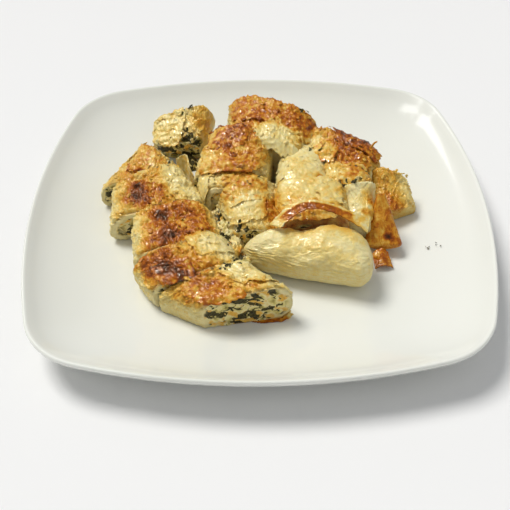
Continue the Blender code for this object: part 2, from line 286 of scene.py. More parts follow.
def noise(points, size, seed=0):
    """Gradient noise from about -1 to 1 with features of a size in millimetres."""
    place = np.asarray(points, np.float32) / size + np.float32(1000)
    whole = np.floor(place)
    part = place - whole
    fade = part**3 * (part * (part * 6 - 15) + 10)
    whole = whole.astype(np.uint32)
    total = np.zeros(place.shape[:-1], np.float32)
    for step in np.ndindex(2, 2, 2):
        step = np.array(step)
        slope = corner_slopes(whole + step.astype(np.uint32), seed)
        share = np.prod(np.where(step == 1, fade, 1 - fade), axis=-1)
        total += share * ((part - step) * slope).sum(-1)
    return total * 1.4


def ridges(points, size, seed=0):
    """Creased noise from 0 to 1: one minus the size of noise, so that its zero lines become sharp ridges."""
    return 1 - np.minimum(np.abs(noise(points, size, seed)) * 2.2, 1)


def smooth(low, high, value):
    """A smooth ramp from 0 at low to 1 at high."""
    t = np.clip((value - low) / (high - low), 0, 1)
    return t * t * (3 - 2 * t)


sample = np.random.default_rng(1).uniform(0, 50, (2000, 3))
print("noise runs from %.2f to %.2f" % (noise(sample, 7).min(), noise(sample, 7).max()))

# %% [markdown]
# ## The plate
#
# The plate is one shape carried round another: a section from the foot to the rim, scaled along a rounded
# square outline. The outline is four bowed side arcs and four corner arcs. A section with few points would
# show its corners in the glaze, so a smooth curve is drawn through them first.

# %% Plate shape
PLATE_SIDE = 260.0
SIDE_ARC = 348.0
CORNER_ARC = 39.0
PLATE_SECTION = np.array([
    (0.0, 3.0), (0.30, 3.0), (0.535, 3.0), (0.550, 0.3), (0.556, 0.0), (0.584, 0.0), (0.592, 0.4),
    (0.610, 3.0), (0.70, 5.0), (0.80, 7.7), (0.90, 12.2), (0.95, 15.6), (0.985, 19.0), (0.998, 21.6),
    (1.0, 22.9), (0.9975, 23.7), (0.992, 24.0), (0.984, 23.6), (0.972, 22.4), (0.94, 19.2), (0.90, 16.2),
    (0.85, 13.4), (0.80, 11.2), (0.75, 9.4), (0.70, 8.15), (0.65, 7.35), (0.60, 7.0), (0.45, 6.9),
    (0.25, 6.9), (0.0, 6.9),
])
PLATE_ROWS = 170
PLATE_COLUMNS = 320


def rim_radius(angle):
    """Distance from the middle to the rim: along each ray, where it meets the side arc or the corner arc.

    The side arc's centre lies behind the middle, and the corner arc's centre on the diagonal. Each ray is
    turned into the first eighth of the outline, and the nearer arc that it meets is solved as a quadratic.
    """
    behind = SIDE_ARC - PLATE_SIDE / 2
    reach = SIDE_ARC - CORNER_ARC
    q = (-behind + math.sqrt(2 * reach**2 - behind**2)) / 2
    switch = math.atan2(SIDE_ARC * q / reach, SIDE_ARC * (q + behind) / reach - behind)
    turned = np.abs((angle + math.pi / 4) % (math.pi / 2) - math.pi / 4)
    x, y = np.sin(turned), np.cos(turned)
    side = -behind * y + np.sqrt(np.maximum((behind * y) ** 2 - behind**2 + SIDE_ARC**2, 0))
    bend = q * (x + y) + np.sqrt(np.maximum((q * (x + y)) ** 2 - 2 * q**2 + CORNER_ARC**2, 0))
    return np.where(turned < switch, side, bend)


def through(points, count):
    """A smooth curve through points: Catmull-Rom splines, sampled evenly in the number of the point."""
    given = np.asarray(points, float)
    ends = np.concatenate([[2 * given[0] - given[1]], given, [2 * given[-1] - given[-2]]])
    at = np.linspace(0, len(given) - 1, count)
    i = np.minimum(at.astype(int), len(given) - 2)
    t = (at - i)[:, None]
    before, start, end, after = (ends[i + step] for step in range(4))
    bend = 2 * before - 5 * start + 4 * end - after
    twist = 3 * start - before - 3 * end + after
    return (2 * start + (end - before) * t + bend * t**2 + twist * t**3) / 2


def plate_top(x, y):
    """Height of the plate's upper face, read from the inner half of the section."""
    share = np.hypot(x, y) / rim_radius(np.arctan2(y, x))
    inner = PLATE_SECTION[:15:-1]
    return np.interp(share, inner[:, 0], inner[:, 1])


section = through(PLATE_SECTION, PLATE_ROWS)
turn = np.linspace(0, 2 * math.pi, PLATE_COLUMNS, endpoint=False)
radius = rim_radius(turn)
plate_grid = np.stack(np.broadcast_arrays(
    section[:, :1] * radius * np.cos(turn), section[:, :1] * radius * np.sin(turn), section[:, 1:]
), -1)
plate = closed_surface("plate_glazed", plate_grid)
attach(plate, "root")
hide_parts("plate")
print("plate radius from %.1f to %.1f mm" % (radius.min(), radius.max()))

# %% [markdown]
# ## Node helpers for materials
#
# A material here is a small graph of shader nodes. Two helpers keep the code short: one adds a node with its
# values, and one makes a colour ramp. Effects that several finishes share are node groups, made once.

# %% Node helpers


def add(tree, kind, values=None, **settings):
    """A node of a kind, with its settings and the default values of its inputs."""
    node = tree.nodes.new(kind)
    for key_name, value in settings.items():
        setattr(node, key_name, value)
    for key_name, value in (values or {}).items():
        node.inputs[key_name].default_value = value
    return node


def ramp(tree, stops, factor):
    """A colour ramp with stops of (place, colour), fed by a socket."""
    node = tree.nodes.new("ShaderNodeValToRGB")
    elements = node.color_ramp.elements
    while len(elements) < len(stops):
        elements.new(0.5)
    for element, (place, colour) in zip(elements, stops):
        element.position = place
        element.color = (*colour, 1)
    tree.links.new(factor, node.inputs["Fac"])
    return node


def maths(tree, operation, first, second):
    """A Math node on two values, each a socket or a number."""
    node = tree.nodes.new("ShaderNodeMath")
    node.operation = operation
    for socket, value in zip(node.inputs, (first, second)):
        if isinstance(value, (int, float)):
            socket.default_value = value
        else:
            tree.links.new(value, socket)
    return node.outputs[0]


def new_material(name):
    """A new node material, with its tree and its Principled shader."""
    made = bpy.data.materials.new(name)
    made.use_nodes = True
    return made, made.node_tree, made.node_tree.nodes["Principled BSDF"]


def group(name, inputs, outputs):
    """An empty shader node group with named number inputs and typed outputs."""
    tree = bpy.data.node_groups.new(name, "ShaderNodeTree")
    for label, kind, value in inputs:
        socket = tree.interface.new_socket(label, in_out="INPUT", socket_type=kind)
        socket.default_value = value
    for label, kind in outputs:
        tree.interface.new_socket(label, in_out="OUTPUT", socket_type=kind)
    return tree, tree.nodes.new("NodeGroupInput"), tree.nodes.new("NodeGroupOutput")


def use_group(tree, kind, values):
    """A node that runs a group inside a tree, with the values of its inputs."""
    node = tree.nodes.new("ShaderNodeGroup")
    node.node_tree = kind
    for key_name, value in values.items():
        node.inputs[key_name].default_value = value
    return node


# %% [markdown]
# ## White glaze
#
# Glaze is white clay under clear glass: a pale base, low roughness and a coat. Real glaze isn't perfectly
# even, so a slow noise shifts its tint a little, and a slower one lifts the surface by a few hundredths of a
# millimetre, which bends the reflections as on a real plate.

# %% Glaze
glaze, tree, shader = new_material("white_glaze")
where = add(tree, "ShaderNodeTexCoord").outputs["Object"]
cloud = add(tree, "ShaderNodeTexNoise", {"Scale": 14.0, "Detail": 2.0})
tree.links.new(where, cloud.inputs["Vector"])
tint = ramp(tree, [(0.3, (0.82, 0.83, 0.765)), (0.7, (0.84, 0.85, 0.795))], cloud.outputs["Fac"])
tree.links.new(tint.outputs["Color"], shader.inputs["Base Color"])
wave = add(tree, "ShaderNodeTexNoise", {"Scale": 22.0, "Detail": 1.0})
tree.links.new(where, wave.inputs["Vector"])
bump = add(tree, "ShaderNodeBump", {"Strength": 0.25, "Distance": 0.0004})
tree.links.new(wave.outputs["Fac"], bump.inputs["Height"])
tree.links.new(bump.outputs["Normal"], shader.inputs["Normal"])
shader.inputs["Roughness"].default_value = 0.16
shader.inputs["Coat Weight"].default_value = 0.5
shader.inputs["Coat Roughness"].default_value = 0.06
plate.data.materials.append(glaze)
print("nodes in the glaze:", len(tree.nodes))

# %% [markdown]
# ## The form of a chunk
#
# Each chunk is a length of the same filled roll, so one formula serves all. A chunk has two cuts. Each cut is
# an arched section, a superellipse that is nearly a rounded rectangle, and the body is the straight blend
# from one cut to the other. The list repeats the sizes of the solids, so that every surface here lies on its
# own solid.

# %% Chunk form
TOUCH_GAP = 0.35
REST_GAP = 0.3
FILO_WALL = 3.4
CUT_BEVEL = 1.2
CRAG_HEIGHT = 1.3
CRAG_WAVE = 15.0
UNDERSIDE_CRAGS = 0.4
TIP_SHARE = 0.17


class Chunk:
    """One cut length of the roll. front and back hold the corners of its middle plane at the two cuts."""

    def __init__(
        self, name, front, back, thick, arch=3.0, flare=(0.0, 0.0), ends=(0.0, 0.0), crag=CRAG_HEIGHT, seed=1
    ):
        self.name = name
        self.front = np.array(front, float)
        self.back = np.array(back, float)
        self.thick = thick
        self.arch = arch
        self.flare = flare
        self.ends = ends
        self.crag = crag
        self.seed = seed
        rng = np.random.default_rng(seed)
        self.waves = rng.normal(size=(4, 3)) * (math.pi / CRAG_WAVE)
        self.phases = rng.uniform(0, 2 * math.pi, 4)
        across = (self.front[1] - self.front[0]) + (self.back[1] - self.back[0])
        along = (self.back[0] - self.front[0]) + (self.back[1] - self.front[1])
        self.up = np.cross(across, along)
        self.up /= np.linalg.norm(self.up)
        self.axis = along / np.linalg.norm(along)
        self.length = float(np.linalg.norm(along) / 2)
        self.width = float(np.linalg.norm(across) / 2)

    def closing(self, station):
        """Share of the full section at a station: a quarter ellipse over each rounded end, else 1."""
        share = np.ones_like(station)
        for reach, away in ((self.ends[0], station), (self.ends[1], 1 - station)):
            if reach:
                arc = np.sqrt(np.clip(1 - (1 - away / reach) ** 2, 0, 1))
                share *= np.where(away < reach, np.maximum(arc, TIP_SHARE), 1)
        return share

    def even_angles(self, count):
        """Angles that step evenly along the arched section's outline, not evenly in angle."""
        angle = np.linspace(0, 2 * math.pi, 4001)
        power = 2 / self.arch
        x = np.sign(np.cos(angle)) * np.abs(np.cos(angle)) ** power * self.width / 2
        z = np.sign(np.sin(angle)) * np.abs(np.sin(angle)) ** power * sum(self.thick) / 4
        run = np.concatenate([[0], np.cumsum(np.hypot(np.diff(x), np.diff(z)))])
        return np.interp(np.linspace(0, run[-1], count, endpoint=False), run, angle)

    def surface(self, station, angle, inset=0.0, trim=0.0):
        """Points for stations by angles: the superellipse |across|^arch + |up|^arch = 1 between the cuts.

        station runs from 0, the front cut, to 1, the back cut. The sine-wave crags of the solid are added,
        except to an inset section, which bounds the filling.
        """
        t = np.asarray(station, float)[:, None, None]
        trim = np.broadcast_to(trim, np.shape(station))[:, None]
        left = self.front[0] * (1 - t) + self.back[0] * t
        right = self.front[1] * (1 - t) + self.back[1] * t
        thick = (self.thick[0] * (1 - t) + self.thick[1] * t)[..., 0]
        half = (right - left) / 2
        width = np.linalg.norm(half, axis=-1)
        power = 2 / self.arch
        across = np.sign(np.cos(angle)) * np.abs(np.cos(angle)) ** power
        lift = np.sign(np.sin(angle)) * np.abs(np.sin(angle)) ** power
        foot = np.where(across < 0, self.flare[0], self.flare[1]) / width * (1 - lift) / 2
        close = self.closing(np.asarray(station, float))[:, None]
        wide = (width - inset - trim) * close / width
        tall = (thick / 2 - inset - trim) * close
        points = (left + right) / 2 + (across * (1 + foot) * wide)[..., None] * half
        points = points + (lift * tall)[..., None] * self.up
        if inset > 0:
            return points
        share = UNDERSIDE_CRAGS + (1 - UNDERSIDE_CRAGS) * np.maximum(lift, 0)
        rise = self.crag * np.sin(points @ self.waves.T + self.phases).mean(axis=-1) * share
        outward = across[:, None] * (half / width[..., None]) + lift[:, None] * self.up
        return points + outward * rise[..., None]


ROW = (
    Chunk("slice_1", [(-30, -81, 14), (17, -73, 20)], [(-53, -68, 10), (-5, -52, 19)], (26, 28),
          arch=3.2, seed=11),
    Chunk("slice_2", [(-56, -67, 15), (-10, -53, 19)], [(-68, -50, 17), (-22, -31, 21)], (25, 28),
          arch=3.0, flare=(0, 5), seed=12),
    Chunk("slice_3", [(-65, -45, 18), (-20, -40, 19)], [(-69, -11, 19), (-30, -5, 19)], (26, 26),
          arch=3.0, flare=(4, 6), seed=13),
    Chunk("slice_4", [(-82, -14, 17), (-31, 0, 16)], [(-83, 15, 19), (-49, 33, 19)], (24, 27),
          arch=2.9, flare=(4, 4), seed=14),
    Chunk("slice_5", [(-92, 16, 16), (-50, 20, 18)], [(-70, 54, 19), (-47, 28, 19)], (22, 26),
          arch=3.0, flare=(2, 0), seed=15),
)
BACK_PIECE = Chunk("slice_6", [(-65, 66, 12), (-35, 60, 17)], [(-65, 82, 14), (-28, 87, 25)], (18, 27),
                   arch=3.4, seed=16)
HEAP_OPEN = (
    Chunk("chunk_left_low", [(-31, 3, 20), (-8, 0, 21)], [(-36, 20, 19), (2, 18, 22)], (28, 30),
          arch=2.8, seed=22),
    Chunk("chunk_back_right", [(28, 29, 24), (63, 14, 22)], [(31, 57, 25), (73, 30, 21)], (32, 36),
          arch=2.8, seed=26),
    Chunk("chunk_front_left", [(-12, -27, 18), (12, -27, 20)], [(-24, -2, 20), (10, 10, 24)], (20, 34),
          arch=2.7, seed=24),
)
HEAP_WHOLE = (
    Chunk("front_roll", [(62, -62, 19), (60, -29, 24)], [(-11, -43, 17), (-6, -26, 22)], (29, 23),
          arch=2.4, ends=(0.16, 0.3), seed=31),
    Chunk("crust_wedge", [(58, -25, 10), (81, -26, 11)], [(66, -5, 34), (71, -5, 34)], (9, 7),
          arch=3.4, ends=(0.12, 0.0), crag=0.4, seed=32),
    Chunk("pale_wedge", [(48, -18, 18), (62, -20, 16)], [(46, 4, 26), (67, 7, 25)], (24, 28),
          arch=3.2, seed=33),
    Chunk("chunk_left_top", [(-38, 18, 22), (6, 17, 25)], [(-28, 50, 26), (10, 49, 28)], (28, 36),
          arch=3.0, seed=21),
    Chunk("chunk_back", [(-16, 44, 25), (27, 29, 25)], [(-17, 84, 25), (37, 61, 27)], (36, 44),
          arch=2.9, flare=(2, 2), ends=(0.0, 0.1), seed=23),
    Chunk("chunk_middle", [(9, 6, 23), (38, 4, 23)], [(14, 37, 22), (40, 35, 18)], (34, 34),
          arch=3.2, seed=27),
    Chunk("chunk_middle_right", [(36, 2, 22), (62, 3, 20)], [(36, 26, 23), (64, 14, 20)], (32, 36),
          arch=3.2, seed=28),
    Chunk("chunk_front", [(10, -25, 21), (50, -21, 20)], [(8, 4, 23), (50, 2, 21)], (32, 35),
          arch=3.2, seed=29),
    Chunk("chunk_right", [(70, -2, 12), (92, 7, 10)], [(60, 29, 20), (86, 26, 16)], (14, 32),
          arch=2.6, ends=(0.0, 0.2), seed=30),
    Chunk("chunk_back_left", [(-31, 48, 19), (-14, 48, 19)], [(-29, 67, 18), (-14, 67, 19)], (24, 27),
          arch=2.8, ends=(0.0, 0.2), seed=34),
    Chunk("pale_strip", [(-12, -49, 13), (-5, -42, 13)], [(-27, -6, 15), (-20, -4, 15)], (17, 19),
          arch=2.6, crag=0.8, seed=35),
)
CHUNKS = (*ROW, BACK_PIECE, *HEAP_OPEN, *HEAP_WHOLE)
OPENED = (*ROW, BACK_PIECE, *HEAP_OPEN)
print(len(CHUNKS), "chunks")

# %% [markdown]
# ## Keeping a surface on its own solid
#
# The solids were cut where one chunk presses on the next, and the formula knows nothing of those cuts. A
# Shrinkwrap modifier finds, for every point of the fine surface that lies outside the solid, the nearest
# point on it. Points that move by less than a millimetre were only above a flat facet, so they stay; points
# that move further lay inside a neighbour, so they go to the cut.

# %% Fit to the solid
KEEP_BELOW = 0.7
FIT_ABOVE = 1.5


def merged_copy(node):
    """A hidden copy of a node's mesh with its loose triangles joined."""
    mesh = frame["nodes"][node].data.copy()
    work = bmesh.new()
    work.from_mesh(mesh)
    bmesh.ops.remove_doubles(work, verts=work.verts, dist=1e-6)
    work.to_mesh(mesh)
    work.free()
    made = bpy.data.objects.new("target_" + node, mesh)
    bpy.context.scene.collection.objects.link(made)
    return made


def fitted(grid, node):
    """The grid with its far-out points drawn onto the node, and the share by which each was drawn."""
    rows, columns = grid.shape[:2]
    target = merged_copy(node)
    probe = mesh_object("probe", grid.reshape(-1, 3), grid_faces(rows, columns, True))
    wrap = probe.modifiers.new("wrap", "SHRINKWRAP")
    wrap.target = target
    wrap.wrap_method = "NEAREST_SURFACEPOINT"
    wrap.wrap_mode = "INSIDE"
    wrapped = probe.evaluated_get(bpy.context.evaluated_depsgraph_get()).data
    moved = np.empty(rows * columns * 3, np.float32)
    wrapped.vertices.foreach_get("co", moved)
    moved = moved.reshape(grid.shape) / MM
    for helper in (probe, target):
        mesh = helper.data
        bpy.data.objects.remove(helper)
        bpy.data.meshes.remove(mesh)
    drawn = smooth(KEEP_BELOW, FIT_ABOVE, np.linalg.norm(moved - grid, axis=2))
    return grid + drawn[..., None] * (moved - grid), drawn


# %% [markdown]
# ## Baked filo as relief
#
# Filo is stacked paper-thin leaves. In the oven the top leaves blister, crease and split, so the crust has
# wide soft blisters, sharp creases that run mostly along the roll, and steps where the top leaf has broken
# off. Each is one term of a sum: noise at its own size, some of it stretched along the roll, moved along the
# normal.

# %% Crust relief
AROUND = 260
ALONG = 76
CAP_ROWS = 24
HOLLOW_DEPTH = 2.0
HOLLOW_SHARE = 0.66
HOLLOW_STEP = 0.08
FOLD_BULGE = 2.4
WALL_STEPS = 6.0


def chunk_grid(chunk, opened, folded=False):
    """Rings from pole to pole: the front cut from its middle out, the body, and the back cut back in.

    A cut is the end ring drawn towards its middle. Where the filling shows, the cut sinks inside the wall.
    Returned with the grid are, for each point: the share out from the middle of its cut, the distance from
    the nearer cut in millimetres, the lift, from -1 under the piece to 1 on top, and the closing. That one
    rises to 1 where a round end draws in. A round end has no cut, and its lift follows how far it faces up.
    """
    angle = chunk.even_angles(AROUND)
    out = np.linspace(0, 1, CAP_ROWS + 1)[:-1]
    station = np.linspace(0, 1, ALONG)
    gap = np.minimum(station, 1 - station) * chunk.length
    trim = CUT_BEVEL / 2 * (1 - smooth(0, CUT_BEVEL, gap)) if not any(chunk.ends) else 0.0
    body = chunk.surface(station, angle, trim=trim)
    power = 2 / chunk.arch
    lift = np.broadcast_to(np.sign(np.sin(angle)) * np.abs(np.sin(angle)) ** power, body.shape[:2])
    spread = np.linalg.norm(body - body.mean(axis=1, keepdims=True), axis=2).mean(axis=1)
    closing = smooth(0.98, 0.70, spread / spread.max())[:, None] * float(any(chunk.ends))
    lift = lift * (1 - closing) + outward_normals(body)[..., 2] * closing
    caps = []
    for ring, way in ((body[:1], 1), (body[-1:], -1)):
        middle = ring.mean(axis=1, keepdims=True)
        cap = middle + out[:, None, None] * (ring - middle)
        if folded and way == 1:
            cap = cap - chunk.axis * FOLD_BULGE * (1 - out**2)[:, None, None]
        elif opened:
            sunk = HOLLOW_DEPTH * (1 - smooth(HOLLOW_SHARE - HOLLOW_STEP, HOLLOW_SHARE, out))
            cap = cap + chunk.axis * way * sunk[:, None, None]
        caps.append(cap)
    grid = np.concatenate([caps[0], body, caps[1][::-1]])
    share = np.concatenate([out, np.ones(ALONG), out[::-1]])[:, None]
    away = np.concatenate([np.zeros(CAP_ROWS), gap, np.zeros(CAP_ROWS)])[:, None]
    shape = grid.shape[:2]
    cap_lift = np.concatenate([out[:, None] * lift[:1], lift, out[::-1, None] * lift[-1:]])
    before, after = (np.repeat(ring, CAP_ROWS, axis=0) for ring in (closing[:1], closing[-1:]))
    closing = np.concatenate([before, closing, after])
    share, away, closing = (np.broadcast_to(number, shape) for number in (share, away, closing))
    return grid, share, away, cap_lift, closing


def stretched(points, chunk, factor=2.6):
    """Points squeezed along the roll by a factor, so that noise read there comes out long along the roll."""
    run = points @ chunk.axis
    return points - chunk.axis * (run * (1 - 1 / factor))[..., None]


def crust_relief(points, chunk, crumple):
    """Height in millimetres, then its blister and small-ridge parts: blisters, creases, crinkles and broken
    leaves. The small-ridge part also sets a painted highlight and painted shade in the bake.
    """
    seed = chunk.seed
    warp = np.stack([noise(points, 6.0, seed + k) for k in range(3)], -1)
    bent = points + warp * 2.6
    blister = np.maximum(noise(bent, 9.0, seed + 5), 0) ** 1.2
    long = stretched(bent, chunk)
    crease = ridges(long, 4.2, seed + 6) ** 3
    fold = ridges(bent, 8.0, seed + 7) ** 4
    fine_ridges_light_and_shade = ridges(long, 2.1, seed + 8) ** 2
    finest = ridges(stretched(bent, chunk, 1.7), 1.15, seed + 11) ** 1.5
    leaf = smooth(0.02, 0.06, noise(bent, 7.5, seed + 9)) + smooth(-0.2, -0.16, noise(bent, 4.6, seed + 10))
    height = 1.2 * blister + crumple * (0.7 * crease + 0.7 * fold + 0.55 * fine_ridges_light_and_shade + 0.32 * finest) + 0.3 * leaf
    return height - 0.9, blister, fine_ridges_light_and_shade * 0.6 + finest * 0.4


def layered(points, chunk, lift):
    """Edges of the stacked leaves on a side wall: thin steps along lines of equal lift."""
    wobble = noise(points, 9.0, chunk.seed + 20) * 0.10 + noise(points, 3.0, chunk.seed + 21) * 0.04
    return np.abs(((lift + wobble) * WALL_STEPS) % 1.0 - 0.5) * 2


print("points on each crust:", AROUND * (ALONG + 2 * CAP_ROWS))

# %% [markdown]
# ## The cut filling as numbers
#
# At every cut lies chopped spinach between soft cheese, rolled up in pale leaves, so the scraps of leaf are
# flat and ragged, and lie along the roll's layers. Noise at three sizes, squeezed in height, gives such
# scraps where it is high. The pattern is worked out once, at the place of each point, so that the filling's
# own surface and the inner edge of the crust carry the same one.

# %% Filling pattern
LAYERED = np.array([1.0, 1.0, 1.6])


def filling_pattern(points, seed):
    """How dark with leaf, from 0 to 1, how yellow the cheese is, and the height of the crumbs."""
    warp = np.stack([noise(points, 4.0, seed + 50 + k) for k in range(3)], -1)
    bent = (points + warp * 2.2) * LAYERED
    wide = noise(bent, 8.5, seed + 53)
    scrap = noise(bent, 4.2, seed + 54)
    shred = noise(bent, 1.5, seed + 55)
    dark = smooth(0.09, 0.15, wide * 0.62 + scrap * 0.62 + shred * 0.20)
    gate = smooth(-0.02, 0.12, noise(points, 5.0, seed + 57))
    threads = smooth(0.80, 0.92, ridges(bent, 6.0, seed + 56)) * gate
    dark = np.maximum(dark, threads)
    tone = np.clip(0.66 + 1.3 * noise(points, 5.5, seed + 58) + 0.4 * noise(points, 2.0, seed + 59), 0, 1)
    rise = 0.9 * noise(points + warp * 2.0, 3.4, seed + 60) + 0.4 * noise(points, 1.4, seed + 61) - 0.45 * dark
    return dark, tone, rise


print("leaf covers %.0f percent of a cut" % (100 * filling_pattern(sample, 11)[0].mean()))

# %% [markdown]
# ## Where the crust is brown
#
# The colour of filo is a matter of baking: cream where it was covered, golden on top, and red-brown to nearly
# black on the highest blisters. One number for each point, the bake, holds that, and the material turns it
# into colour. A chunk has one bake on top and one on its sides. Soft-edged spots then pull it towards other
# values, and blisters darken it further. Each spot is a place in millimetres, its size and its bake. Where a
# leaf has come off, a soaked place shows the filling instead. On browned parts the bake is also lower on the
# tops of the fine ridges and higher in the creases between them: a painted highlight on the ridges and
# painted shade in the creases.

# %% Bake


class Finish:
    """How one chunk looks: its bake on top, at the sides and at its cuts, how crumpled it is, and its spots.

    A folded chunk has a leaf folded down over its front cut. Swells are places where the surface stands
    higher or lower: a place, a size and a height in millimetres. Soaked places, a place and a size, have lost
    their leaf and show the filling.
    """

    def __init__(
        self, bake=0.38, crumple=1.3, side=0.05, cut=0.0, spots=(), folded=False, swells=(), soaked=()
    ):
        self.bake = bake
        self.soaked = soaked
        self.swells = swells
        self.folded = folded
        self.crumple = crumple
        self.side = side
        self.cut = cut
        self.spots = spots


